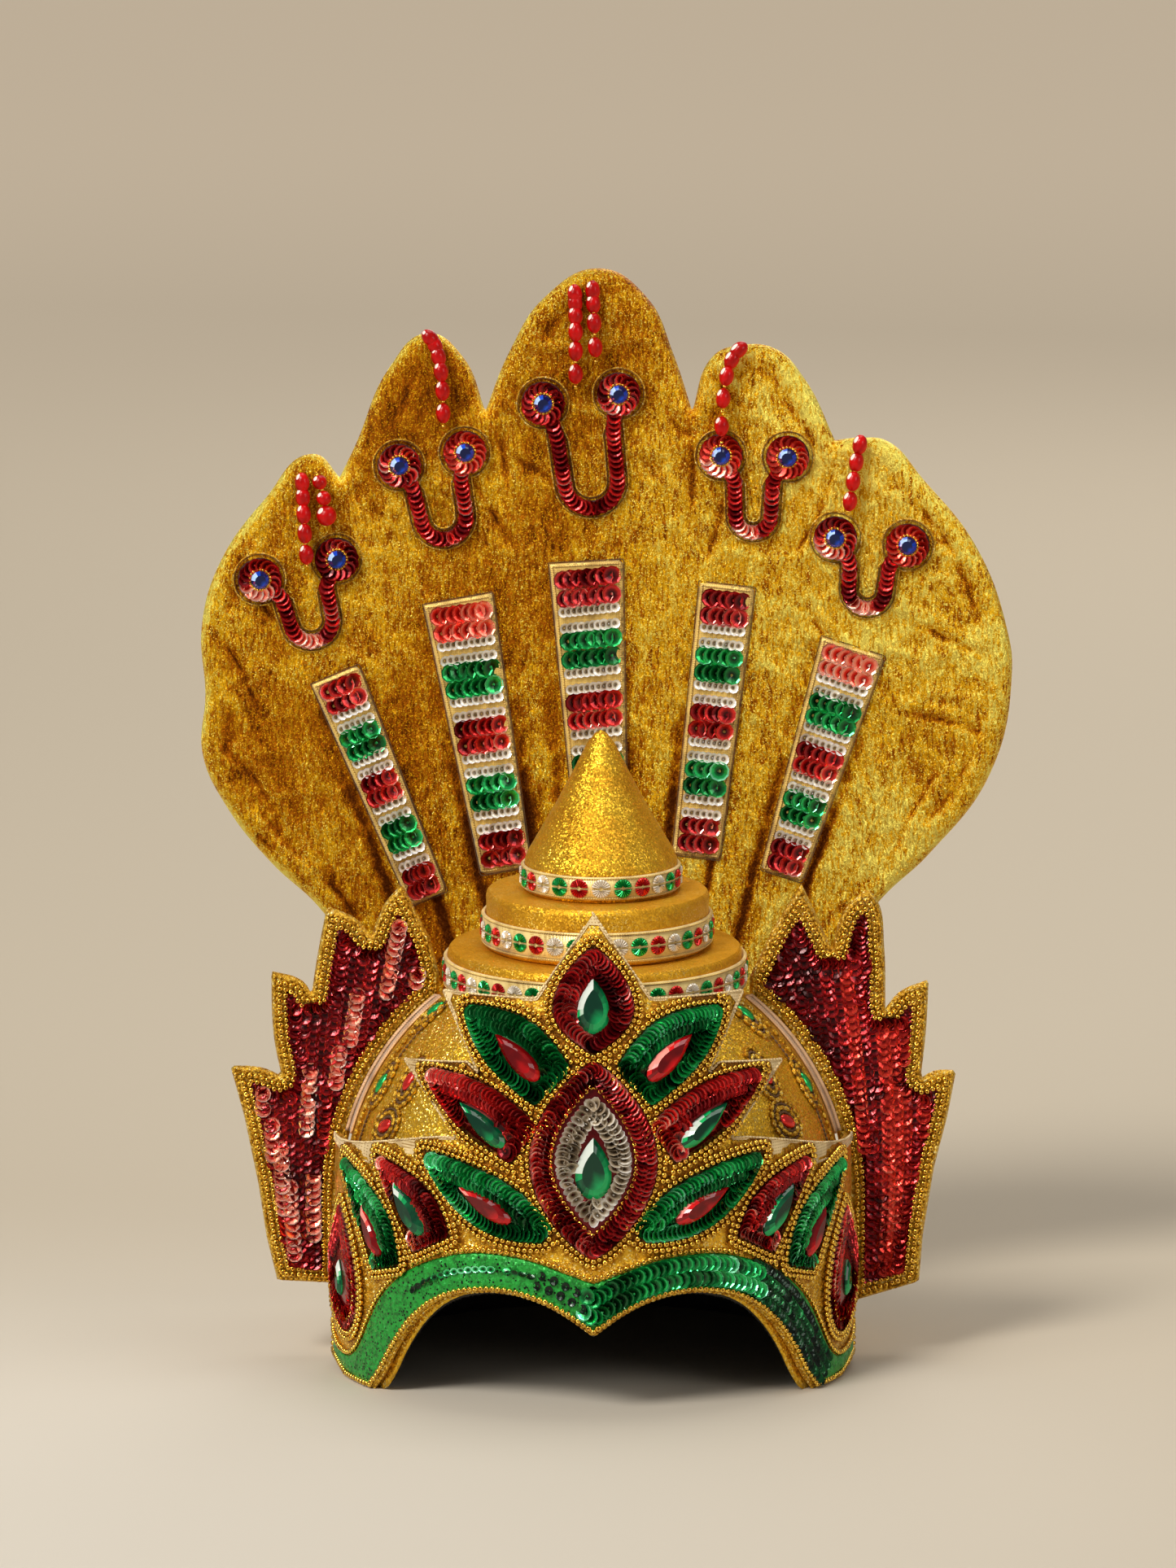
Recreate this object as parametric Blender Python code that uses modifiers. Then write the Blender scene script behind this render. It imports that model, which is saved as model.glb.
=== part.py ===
"""Dance crown with a five-lobed serpent hood.

A domed helmet carries a petalled front plate, two flame wings, three stacked tiers and the hood.
Metres, +Z up, the front towards -Y. The helmet's own axis is the working origin, and one empty then
moves the whole crown so that it stands centred on the origin.
"""

import math
from collections import namedtuple

import bmesh
import bpy
from mathutils import Matrix, Vector

# Clearance between pieces that touch
GAP = 0.0003

# Helmet shell, open below, with a dome that is cut flat under the tiers
SHELL_WIDTH = 0.185
SHELL_DEPTH = 0.200
SHELL_WALL = 0.0025
SPRING_HEIGHT = 0.060
DOME_RISE = 0.097
DOME_TOP = 0.150

# Black lining, which peeks out below the arches and stops short of the foot
LINING_WALL = 0.0015
LINING_PEEK = 0.0015
LINING_FOOT = 0.002

# Front plate with its arches, middle point and raised petals
CREST_WALL = 0.003
CREST_HEIGHT = 0.181
CREST_LEAN = 0.016
CREST_LEAN_START = 0.065
ARCH_RISE = 0.0443
PETAL_RISE = 0.0012
PETAL_END = 0.0015
STONE_RISE = 0.0035
STONE_TABLE = 0.58
ARCH_CUT_DEPTH = 0.025

# Wings past the helmet's sides, their flaps and the ribbons in front of them
WING_REACH = 0.042
WING_HEIGHT = 0.178
WING_WALL = 0.004
WING_BACKSET = 0.002
RIBBON_WALL = 0.0008
SEAM_RIBBON_WIDTH = 0.007
SEAM_RIBBON_FOOT = 0.086
SEAM_RIBBON_CLEARANCE = 0.0011
SEAM_RIBBON_REACH = 0.111

# Tiers: half-widths, heights, the roof over the dome, the ribbons and how far each stands off to the right
TIER_DEPTH_RATIO = 1.2
LOWER_TIER_HALF_WIDTH = 0.0545
LOWER_TIER_FOOT = 0.134
LOWER_TIER_ROOF = 0.0054
MIDDLE_TIER_HALF_WIDTH = 0.0412
MIDDLE_TIER_HEIGHT = 0.0207
CONE_HALF_WIDTH = 0.028
CONE_HEIGHT = 0.059
RIBBON_HEIGHT = 0.011
CONE_RIBBON_HEIGHT = 0.0085
LOWER_RIBBON_DROP = 0.0033
MIDDLE_RIBBON_LIFT = 0.0015
CONE_RIBBON_LIFT = 0.0011
TIER_CHAMFER = 0.0011
LOWER_LEAN = 0.0007
MIDDLE_LEAN = 0.0014
CONE_LEAN = 0.0028

# Hood board, let a little way into the back of the helmet
HOOD_WIDTH = 0.3034
HOOD_HEIGHT = 0.396
HOOD_WALL = 0.008
HOOD_SEAT = 0.005
HOOD_CUP = 0.012
HOOD_SHIFT = 0.0052

# Appliques on the hood
STRIP_WALL = 0.001
MARK_WALL = 0.0018
MARK_BAND = 0.006
MARK_SPLAY = 0.4
EYE_RADIUS = 0.0088
EYE_STONE_RADIUS = 0.0036
EYE_STONE_RISE = 0.0028
BEAD_WIDTH = 0.0065
BEAD_PITCH = 0.0078
BEAD_NECK = 0.0012
BEAD_LIFT_START = 0.25
BEAD_LIFT_END = 0.65

# Facets: sides round each form, rows up the dome and steps along the drawn curves
ROUND_SIDES = 36
DOME_ROWS = 8
LINING_ROWS = 4
CREST_ROWS = 5
TIER_SIDES = 30
BEAD_SIDES = 10
STONE_SIDES = 12
EYE_SIDES = 10
EYE_DISC_SIDES = 12
HOOD_COLUMNS = 14
LEAF_STEPS = 6
LOOP_STEPS = 6
SHARP_DEGREES = 35

# Blanks and cutters: reach of a cut, spare length past an edge, merge distance and step along a slope
REACH = 0.25
SPARE = 0.008
MERGE = 1e-6
SLOPE_STEP = 1e-4

Corner = namedtuple("Corner", "across up kind")
Leaf = namedtuple("Leaf", "name root_across root_up tip_across tip_up width root fullest fullness bend")
Stone = namedtuple("Stone", "name root_across root_up tip_across tip_up width finish")
Mark = namedtuple("Mark", "across up turn eyes drop stems")
Strip = namedtuple("Strip", "top_across top_up foot_across foot_up top_width foot_width")
Route = namedtuple("Route", "beads points")

# The crest's upper edge, right half from the point outwards: shares of its half-width and height
CREST_EDGE = (
    Corner(0.000, 1.000, "corner"),
    Corner(0.210, 0.835, "corner"),
    Corner(0.545, 0.835, "corner"),
    Corner(0.420, 0.683, "corner"),
    Corner(0.460, 0.702, "corner"),
    Corner(0.690, 0.688, "corner"),
    Corner(0.500, 0.550, "corner"),
    Corner(0.570, 0.546, "round"),
    Corner(0.895, 0.490, "round"),
    Corner(1.100, 0.440, "corner"),
    Corner(1.100, 0.016, "corner"),
    Corner(0.955, 0.016, "corner"),
    Corner(0.915, 0.000, "corner"),
)

# The arch's edge, from the lobe inwards to the middle point: shares of the half-width and the arch's rise
ARCH_EDGE = (
    Corner(0.820, 0.000, "corner"),
    Corner(0.780, 0.160, "round"),
    Corner(0.720, 0.450, "round"),
    Corner(0.635, 0.730, "round"),
    Corner(0.550, 0.890, "round"),
    Corner(0.450, 0.975, "round"),
    Corner(0.340, 1.000, "round"),
    Corner(0.225, 0.955, "round"),
    Corner(0.130, 0.865, "round"),
    Corner(0.000, 0.670, "corner"),
)

# Petals on the crest, right side: shares of its half-width and height, with width and bend of its height
# too. root is the root's width as a share of the leaf's, or -1 for a round end.
CREST_MIDDLE_PETALS = (
    Leaf("diamond", 0.000, 0.727, 0.000, 0.970, 0.168, 0.00, 0.34, 0.85, 0.000),
    Leaf("heart", 0.000, 0.310, 0.000, 0.724, 0.265, 0.00, 0.44, 0.70, 0.000),
)
CREST_SIDE_PETALS = (
    Leaf("upper", 0.165, 0.654, 0.469, 0.802, 0.109, 0.85, 0.42, 0.80, 0.019),
    Leaf("middle", 0.261, 0.539, 0.632, 0.677, 0.102, 0.82, 0.35, 0.90, 0.003),
    Leaf("lower", 0.164, 0.386, 0.619, 0.505, 0.102, 0.30, 0.40, 0.90, -0.025),
    Leaf("outer", 0.575, 0.321, 0.793, 0.468, 0.075, 0.93, 0.35, 0.90, 0.011),
    Leaf("edge", 0.754, 0.258, 0.916, 0.424, 0.077, 0.83, 0.45, 0.90, 0.013),
    Leaf("side", 0.900, 0.070, 0.935, 0.335, 0.100, -1.0, 0.35, 0.90, 0.000),
)

# Stones on the crest: the round end, then the pointed end
MIDDLE_STONES = (
    Stone("top_stone", 0.000, 0.768, 0.000, 0.877, 0.065, "green stone"),
    Stone("centre_stone", 0.000, 0.4436, 0.000, 0.566, 0.0735, "green stone"),
)
SIDE_STONES = (
    Stone("upper_stone", 0.194, 0.678, 0.351, 0.761, 0.046, "red stone"),
    Stone("middle_stone", 0.317, 0.544, 0.478, 0.621, 0.042, "green stone"),
    Stone("lower_stone", 0.295, 0.394, 0.484, 0.454, 0.042, "red stone"),
    Stone("outer_stone", 0.616, 0.347, 0.720, 0.442, 0.045, "green stone"),
    Stone("edge_stone", 0.774, 0.282, 0.838, 0.380, 0.045, "red stone"),
    Stone("side_stone", 0.925, 0.166, 0.930, 0.238, 0.045, "green stone"),
)

# The outline of a stone cut as a drop, on a length and a width of one
STONE_LEAF = Leaf("drop", 0, 0, 0, 0, 1, -1, 0.36, 0.85, 0)

# The wings' outlines from the foot outwards and up: shares of the distance from the helmet's middle to the
# wing's tip and of the wing's height. The first and last points lie inside the helmet, which cuts the plate.
WING_LEFT_EDGE = (
    Corner(0.600, 0.150, "corner"),
    Corner(0.873, 0.160, "corner"),
    Corner(0.903, 0.256, "corner"),
    Corner(0.923, 0.361, "corner"),
    Corner(0.962, 0.508, "corner"),
    Corner(1.000, 0.616, "corner"),
    Corner(0.910, 0.611, "round"),
    Corner(0.859, 0.594, "corner"),
    Corner(0.880, 0.680, "round"),
    Corner(0.886, 0.816, "corner"),
    Corner(0.797, 0.793, "round"),
    Corner(0.775, 0.766, "corner"),
    Corner(0.762, 0.833, "round"),
    Corner(0.732, 0.953, "corner"),
    Corner(0.649, 0.924, "round"),
    Corner(0.611, 0.889, "corner"),
    Corner(0.575, 0.958, "corner"),
    Corner(0.526, 1.000, "corner"),
    Corner(0.448, 0.884, "corner"),
    Corner(0.424, 0.810, "corner"),
    Corner(0.424, 0.745, "corner"),
    Corner(0.300, 0.700, "corner"),
)
WING_RIGHT_EDGE = (
    Corner(0.600, 0.112, "corner"),
    Corner(0.724, 0.117, "corner"),
    Corner(0.900, 0.157, "corner"),
    Corner(0.910, 0.257, "corner"),
    Corner(0.940, 0.400, "corner"),
    Corner(0.976, 0.508, "corner"),
    Corner(1.000, 0.606, "corner"),
    Corner(0.940, 0.605, "round"),
    Corner(0.902, 0.589, "corner"),
    Corner(0.916, 0.690, "round"),
    Corner(0.923, 0.798, "corner"),
    Corner(0.842, 0.771, "round"),
    Corner(0.804, 0.737, "corner"),
    Corner(0.800, 0.867, "round"),
    Corner(0.781, 0.965, "round"),
    Corner(0.752, 0.990, "corner"),
    Corner(0.690, 0.945, "round"),
    Corner(0.656, 0.862, "corner"),
    Corner(0.601, 0.953, "corner"),
    Corner(0.572, 1.000, "corner"),
    Corner(0.492, 0.902, "corner"),
    Corner(0.430, 0.802, "corner"),
    Corner(0.430, 0.745, "corner"),
    Corner(0.300, 0.700, "corner"),
)

# The flap at a wing's root: shares of the helmet's half-width and of the wing's height
FLAP_EDGE = (
    Corner(0.974, 0.170, "corner"),
    Corner(1.091, 0.105, "corner"),
    Corner(1.061, 0.250, "corner"),
    Corner(1.018, 0.350, "corner"),
    Corner(0.974, 0.340, "corner"),
)

# The cone above its band: shares of its half-width and of its height
CONE_PROFILE = (
    Corner(1.00, 0.00, "foot"),
    Corner(1.00, 0.19, "band"),
    Corner(0.97, 0.23, "flank"),
    Corner(0.80, 0.37, "flank"),
    Corner(0.59, 0.54, "flank"),
    Corner(0.38, 0.73, "flank"),
    Corner(0.19, 0.91, "flank"),
    Corner(0.08, 0.98, "tip"),
)

# The hood's outline, from the top down the left side and up the right: shares of its half-width, to
# either side of its own middle, and of its height
HOOD_EDGE = (
    Corner(-0.018, 1.000, "round"),
    Corner(-0.155, 0.972, "round"),
    Corner(-0.239, 0.922, "round"),
    Corner(-0.300, 0.864, "corner"),
    Corner(-0.357, 0.917, "round"),
    Corner(-0.443, 0.939, "round"),
    Corner(-0.535, 0.907, "round"),
    Corner(-0.620, 0.833, "round"),
    Corner(-0.659, 0.802, "corner"),
    Corner(-0.725, 0.825, "round"),
    Corner(-0.842, 0.783, "round"),
    Corner(-0.955, 0.722, "round"),
    Corner(-1.000, 0.662, "round"),
    Corner(-0.992, 0.596, "round"),
    Corner(-1.000, 0.540, "round"),
    Corner(-0.940, 0.487, "round"),
    Corner(-0.830, 0.432, "round"),
    Corner(-0.715, 0.389, "round"),
    Corner(-0.560, 0.298, "round"),
    Corner(-0.480, 0.202, "round"),
    Corner(-0.440, 0.076, "corner"),
    Corner(0.374, 0.076, "corner"),
    Corner(0.414, 0.202, "round"),
    Corner(0.493, 0.298, "round"),
    Corner(0.684, 0.398, "round"),
    Corner(0.796, 0.440, "round"),
    Corner(0.948, 0.520, "round"),
    Corner(1.000, 0.619, "round"),
    Corner(0.988, 0.658, "round"),
    Corner(0.908, 0.739, "round"),
    Corner(0.777, 0.802, "round"),
    Corner(0.691, 0.837, "round"),
    Corner(0.625, 0.840, "round"),
    Corner(0.562, 0.837, "corner"),
    Corner(0.486, 0.896, "round"),
    Corner(0.414, 0.924, "round"),
    Corner(0.328, 0.927, "round"),
    Corner(0.262, 0.917, "round"),
    Corner(0.210, 0.864, "corner"),
    Corner(0.163, 0.919, "round"),
    Corner(0.099, 0.972, "round"),
)

# Cloth strips on the hood, left to right: shares of its half-width and height, widths of its half-width
HOOD_STRIPS = (
    Strip(-0.675, 0.6145, -0.445, 0.3975, 0.126, 0.098),
    Strip(-0.370, 0.6860, -0.251, 0.4240, 0.173, 0.126),
    Strip(-0.052, 0.7210, -0.011, 0.4370, 0.183, 0.125),
    Strip(0.299, 0.6990, 0.222, 0.4370, 0.138, 0.118),
    Strip(0.612, 0.6410, 0.435, 0.4195, 0.163, 0.106),
)

# Eye-and-loop marks, left to right: the point between the eyes, the turn in degrees, then the eyes'
# spacing, the drop to the loop's foot and the stems' spacing as shares of the hood's half-width
HOOD_MARKS = (
    Mark(-0.766, 0.7165, 14.0, 0.196, 0.184, 0.105),
    Mark(-0.434, 0.8205, 11.0, 0.166, 0.203, 0.112),
    Mark(-0.065, 0.8773, 7.0, 0.189, 0.274, 0.132),
    Mark(0.365, 0.8227, -1.0, 0.165, 0.190, 0.087),
    Mark(0.656, 0.7424, -5.0, 0.180, 0.167, 0.090),
)

# Routes of the bead strings, left to right, from the hood's top edge downwards: a number of beads, then
# points as shares of the hood's half-width and height
BEAD_ROUTES = (
    Route(5, ((-0.754, 0.8060), (-0.750, 0.7700), (-0.742, 0.7210))),
    Route(3, ((-0.717, 0.8070), (-0.700, 0.7850), (-0.692, 0.7600))),
    Route(6, ((-0.443, 0.9380), (-0.413, 0.9120), (-0.405, 0.8530))),
    Route(6, ((-0.080, 0.9800), (-0.078, 0.9500), (-0.078, 0.8900))),
    Route(4, ((-0.036, 0.9850), (-0.033, 0.9600), (-0.028, 0.9140))),
    Route(5, ((0.336, 0.9270), (0.295, 0.9000), (0.283, 0.8370))),
    Route(4, ((0.629, 0.8430), (0.612, 0.8100), (0.597, 0.7720))),
)

# Rings round one bead: share of the pitch along the thread and share of the bead's width
BEAD_RINGS = ((0.12, 0.78), (0.50, 1.0), (0.88, 0.78))

# Colour, roughness and metallic value of each finish
FINISHES = {
    "gold cloth": ((0.76, 0.50, 0.08), 0.42, 0.75),
    "glitter gold": ((0.80, 0.56, 0.14), 0.38, 0.80),
    "light gold cloth": ((0.74, 0.60, 0.26), 0.50, 0.50),
    "sheer ribbon": ((0.82, 0.66, 0.38), 0.45, 0.45),
    "black lining": ((0.015, 0.014, 0.013), 0.90, 0.0),
    "red sequin": ((0.45, 0.02, 0.03), 0.25, 0.60),
    "red stone": ((0.55, 0.01, 0.03), 0.08, 0.0),
    "green stone": ((0.01, 0.30, 0.14), 0.08, 0.0),
    "blue stone": ((0.01, 0.05, 0.50), 0.08, 0.0),
    "red bead": ((0.62, 0.02, 0.03), 0.12, 0.0),
}


def clear_scene():
    """Empties the scene and makes the two collections and the empty that carries the crown."""
    for obj in list(bpy.data.objects):
        bpy.data.objects.remove(obj)
    for name in ("dance_crown", "cutters"):
        bpy.context.scene.collection.children.link(bpy.data.collections.new(name))
    carrier = bpy.data.objects.new("crown_carrier", None)
    bpy.data.collections["dance_crown"].objects.link(carrier)


def finish(name):
    """The material of that name, made on first use."""
    if name in bpy.data.materials:
        return bpy.data.materials[name]
    colour, roughness, metallic = FINISHES[name]
    material = bpy.data.materials.new(name)
    material.use_nodes = True
    shader = material.node_tree.nodes["Principled BSDF"]
    shader.inputs["Base Color"].default_value = (*colour, 1.0)
    shader.inputs["Roughness"].default_value = roughness
    shader.inputs["Metallic"].default_value = metallic
    return material


def piece(name, mesh, finish_name):
    """A sub-part in the crown's collection."""
    obj = bpy.data.objects.new(name, mesh)
    bpy.data.collections["dance_crown"].objects.link(obj)
    obj.parent = bpy.data.objects["crown_carrier"]
    obj.data.materials.clear()
    obj.data.materials.append(finish(finish_name))
    return obj


def helper(name, mesh):
    """A cutter or a blank, kept out of the render."""
    obj = bpy.data.objects.new(name, mesh)
    bpy.data.collections["cutters"].objects.link(obj)
    obj.parent = bpy.data.objects["crown_carrier"]
    obj.hide_render = True
    obj.display_type = "WIRE"
    return obj


def mesh_of(bm, name, smooth=True):
    """The bmesh as a mesh, shaded smooth but for its sharp edges."""
    mesh = bpy.data.meshes.new(name)
    bm.to_mesh(mesh)
    bm.free()
    if smooth:
        mesh.shade_smooth()
        mesh.set_sharp_from_angle(angle=math.radians(SHARP_DEGREES))
    return mesh


def face_outwards(bm, outward):
    """Turns an open surface's faces so that they look along outward(centre of a face)."""
    bm.normal_update()
    if sum(face.normal.dot(outward(face.calc_center_median())) for face in bm.faces) < 0:
        bmesh.ops.reverse_faces(bm, faces=bm.faces[:])


def turned(name, profile, depth_ratio, sides, sweep=math.tau):
    """A profile of (radius, height) swept round the axis from the left by way of the front."""
    bm = bmesh.new()
    verts = [bm.verts.new((-radius, 0, height)) for radius, height in profile]
    edges = [bm.edges.new(pair) for pair in zip(verts, verts[1:])]
    bmesh.ops.spin(bm, geom=verts + edges, axis=(0, 0, 1), cent=(0, 0, 0), angle=sweep, steps=sides)
    bmesh.ops.remove_doubles(bm, verts=bm.verts[:], dist=MERGE)
    bmesh.ops.scale(bm, vec=(1, depth_ratio, 1), verts=bm.verts[:])
    middle = sum(height for _, height in profile) / len(profile)
    face_outwards(bm, lambda centre: centre - Vector((0, 0, middle)))
    return mesh_of(bm, name)


def thicken(obj, thickness, outwards):
    """Gives an open surface its wall."""
    wall = obj.modifiers.new("wall", "SOLIDIFY")
    wall.thickness = thickness
    wall.offset = 1 if outwards else -1
    wall.use_even_offset = True


def combine(obj, operation, other):
    """Adds an exact Boolean of another mesh object."""
    step = obj.modifiers.new(f"{operation.lower()} {other.name}", "BOOLEAN")
    step.operation = operation
    step.object = other


def outline_prism(name, corners, front, back, resolution=3):
    """A solid with a flat outline seen from the front, between two depths.

    The outline is a 2D curve, filled and extruded, whose round points have automatic handles.
    """
    curve = bpy.data.curves.new(name, "CURVE")
    curve.dimensions = "2D"
    curve.fill_mode = "BOTH"
    curve.extrude = (back - front) / 2
    curve.resolution_u = resolution if any(corner.kind == "round" for corner in corners) else 1
    spline = curve.splines.new("BEZIER")
    spline.use_cyclic_u = True
    spline.bezier_points.add(len(corners) - 1)
    for point, corner in zip(spline.bezier_points, corners):
        point.co = (corner.across, corner.up, 0)
        handle = "AUTO" if corner.kind == "round" else "VECTOR"
        point.handle_left_type = handle
        point.handle_right_type = handle
    drawn = bpy.data.objects.new(name, curve)
    bpy.context.scene.collection.objects.link(drawn)
    drawn.rotation_euler = (math.pi / 2, 0, 0)
    drawn.location = (0, (front + back) / 2, 0)
    bpy.context.view_layer.update()
    mesh = bpy.data.meshes.new_from_object(drawn.evaluated_get(bpy.context.evaluated_depsgraph_get()))
    mesh.transform(drawn.matrix_world)
    bpy.data.objects.remove(drawn)
    bm = bmesh.new()
    bm.from_mesh(mesh)
    bmesh.ops.remove_doubles(bm, verts=bm.verts[:], dist=MERGE)
    bmesh.ops.recalc_face_normals(bm, faces=bm.faces[:])
    bpy.data.meshes.remove(mesh)
    return mesh_of(bm, name, smooth=False)


def scaled(corners, half_width, height, side=1, shift=0.0):
    """A table of shares as real corners, on the left for a side of -1."""
    return [
        Corner(shift + side * corner.across * half_width, corner.up * height, corner.kind)
        for corner in corners
    ]


def leaf_half_width(leaf, along):
    """Half-width of a leaf or drop, as a share of its full width, at a share of its length."""
    if along >= leaf.fullest:
        toward_tip = (along - leaf.fullest) / (1 - leaf.fullest)
        return 0.5 * max(0.0, math.cos(math.pi / 2 * toward_tip)) ** leaf.fullness
    toward_root = (leaf.fullest - along) / leaf.fullest
    if leaf.root < 0:
        return 0.5 * math.sqrt(max(0.0, 1 - toward_root**2))
    return 0.5 * (leaf.root + (1 - leaf.root) * math.cos(math.pi / 2 * toward_root) ** leaf.fullness)


def leaf_outline(leaf, half_width, height, side):
    """Corners of a leaf on the crest, seen from the front."""
    root = Vector((leaf.root_across * half_width, leaf.root_up * height))
    tip = Vector((leaf.tip_across * half_width, leaf.tip_up * height))
    axis = tip - root
    normal = Vector((-axis.y, axis.x)).normalized()
    stations = [step / LEAF_STEPS for step in range(LEAF_STEPS + 1)]

    def edge(along, sign):
        offset = leaf.bend * math.sin(math.pi * along) + sign * leaf.width * leaf_half_width(leaf, along)
        point = root + axis * along + normal * offset * height
        return Corner(side * point.x, point.y, "corner")

    near = [edge(along, -1) for along in stations]
    far = [edge(along, 1) for along in reversed(stations[:-1])]
    return near + (far if leaf.root > 0 else far[:-1])


def dome_profile(inset, foot, rows):
    """Radius and height up the helmet's skin, moved in by inset, to the axis at the flat top."""
    radius = SHELL_WIDTH / 2 - inset
    rise = DOME_RISE - inset
    top = DOME_TOP - inset
    steepest = math.asin((top - SPRING_HEIGHT) / rise)
    profile = [(radius, foot)]
    for row in range(rows + 1):
        angle = steepest * row / rows
        profile.append((radius * math.cos(angle), SPRING_HEIGHT + rise * math.sin(angle)))
    return profile + [(0, top)]


def depth_ratio(inset):
    """Depth over width of the helmet's skin, moved in by inset."""
    return (SHELL_DEPTH / 2 - inset) / (SHELL_WIDTH / 2 - inset)


def dome_body(name, outset):
    """A closed blank of the helmet's outer form, grown by outset, from below the foot."""
    profile = [(0, -REACH)] + dome_profile(-outset, -REACH, DOME_ROWS)
    return helper(name, turned(name, profile, depth_ratio(-outset), ROUND_SIDES))


def arch_cutter(name, half_width, drop):
    """The space under the two arches, through the front wall only."""
    right = scaled(ARCH_EDGE, half_width, ARCH_RISE)
    lowered = [Corner(corner.across, corner.up - drop, corner.kind) for corner in right]
    lobe = lowered[0].across
    below = [Corner(lobe, -REACH, "corner"), Corner(-lobe, -REACH, "corner")]
    mirrored = [Corner(-corner.across, corner.up, corner.kind) for corner in lowered[:-1]]
    outline = mirrored + lowered[::-1] + below
    return helper(name, outline_prism(name, outline, -REACH, -ARCH_CUT_DEPTH))


def make_helmet():
    """The shell and its lining, both cut by the arches."""
    shell = piece(
        "helmet_shell",
        turned("helmet_shell", dome_profile(0, 0, DOME_ROWS), depth_ratio(0), ROUND_SIDES),
        "glitter gold",
    )
    thicken(shell, SHELL_WALL, outwards=False)
    combine(shell, "DIFFERENCE", arch_cutter("arches in shell", SHELL_WIDTH / 2, 0))
    inset = SHELL_WALL + GAP
    lining = piece(
        "lining",
        turned("lining", dome_profile(inset, LINING_FOOT, LINING_ROWS), depth_ratio(inset), ROUND_SIDES),
        "black lining",
    )
    thicken(lining, LINING_WALL, outwards=False)
    cutter = arch_cutter("arches in lining", SHELL_WIDTH / 2 - inset, LINING_PEEK)
    combine(lining, "DIFFERENCE", cutter)


def crest_inset(height):
    """How far the crest has leant in at a height."""
    rise = max(0.0, height - CREST_LEAN_START) / (CREST_HEIGHT - CREST_LEAN_START)
    return CREST_LEAN * rise**2


def crest_half_width():
    """Half-width of the crest's outer face at the foot."""
    return SHELL_WIDTH / 2 + GAP + CREST_WALL


def crest_layer(name, start, thickness):
    """A curved blank round the front half, from start outside the helmet's skin."""
    heights = [-SPARE, CREST_LEAN_START]
    top = CREST_HEIGHT + SPARE
    heights += [
        CREST_LEAN_START + (top - CREST_LEAN_START) * row / (CREST_ROWS - 1) for row in range(1, CREST_ROWS)
    ]
    profile = [(SHELL_WIDTH / 2 + start - crest_inset(height), height) for height in heights]
    mesh = turned(name, profile, depth_ratio(0), ROUND_SIDES // 2, sweep=math.pi)
    layer = helper(name, mesh)
    bm = bmesh.new()
    bm.from_mesh(mesh)
    face_outwards(bm, lambda centre: Vector((centre.x, centre.y, 0)))
    bm.to_mesh(mesh)
    bm.free()
    thicken(layer, thickness, outwards=True)
    return layer


def crest_outline():
    """The whole outline of the front plate."""
    half_width = crest_half_width()
    right = scaled(CREST_EDGE, half_width, CREST_HEIGHT) + scaled(ARCH_EDGE, half_width, ARCH_RISE)
    left = [Corner(-corner.across, corner.up, corner.kind) for corner in right[1:-1]]
    return right + left[::-1]


def crest_frame(across, up, outset):
    """A point of the crest's face and its normal, outset from the helmet's skin."""

    def face_point(x, z):
        half = SHELL_WIDTH / 2 + outset - crest_inset(z)
        return Vector((x, -depth_ratio(0) * math.sqrt(max(MERGE**2, half**2 - x**2)), z))

    point = face_point(across, up)
    inward = -math.copysign(SLOPE_STEP, across)
    slope_across = (face_point(across + inward, up) - point) * math.copysign(1, inward)
    slope_up = face_point(across, up + SLOPE_STEP) - point
    normal = slope_across.cross(slope_up).normalized()
    return point, normal


def make_crest():
    """The front plate, with its petals raised on it."""
    outline = crest_outline()
    plate = piece("crest_plate", outline_prism("crest_plate", outline, -REACH, REACH), "gold cloth")
    combine(plate, "INTERSECT", crest_layer("crest layer", GAP, CREST_WALL))
    leaves = [(leaf, 1) for leaf in CREST_MIDDLE_PETALS]
    leaves += [(leaf, side) for leaf in CREST_SIDE_PETALS for side in (-1, 1)]
    petals = None
    for leaf, side in leaves:
        name = f"{leaf.name} petal {'left' if side < 0 else 'right'}"
        outline = leaf_outline(leaf, crest_half_width(), CREST_HEIGHT, side)
        petal = helper(name, outline_prism(name, outline, -REACH, -PETAL_END))
        if petals:
            combine(petals, "UNION", petal)
        else:
            petals = petal
    layer = crest_layer("petal layer", GAP + CREST_WALL / 2, CREST_WALL / 2 + PETAL_RISE)
    combine(petals, "INTERSECT", layer)
    combine(plate, "UNION", petals)


def cut_stone(name, length, width, rise):
    """A faceted drop on a flat back, round below and pointed above: a frustum drawn out to a drop."""
    bm = bmesh.new()
    bmesh.ops.create_cone(
        bm,
        cap_ends=True,
        segments=STONE_SIDES,
        radius1=1,
        radius2=1,
        depth=rise,
        matrix=Matrix.Translation((0, 0, rise / 2)),
    )
    for vert in bm.verts:
        share = STONE_TABLE if vert.co.z > rise / 2 else 1.0
        along = 0.5 + 0.5 * vert.co.y
        half = width * leaf_half_width(STONE_LEAF, along)
        vert.co.x = share * (math.copysign(half, vert.co.x) if abs(vert.co.x) > MERGE else 0.0)
        vert.co.y = share * (along - 0.5) * length
    return mesh_of(bm, name, smooth=False)


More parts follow.
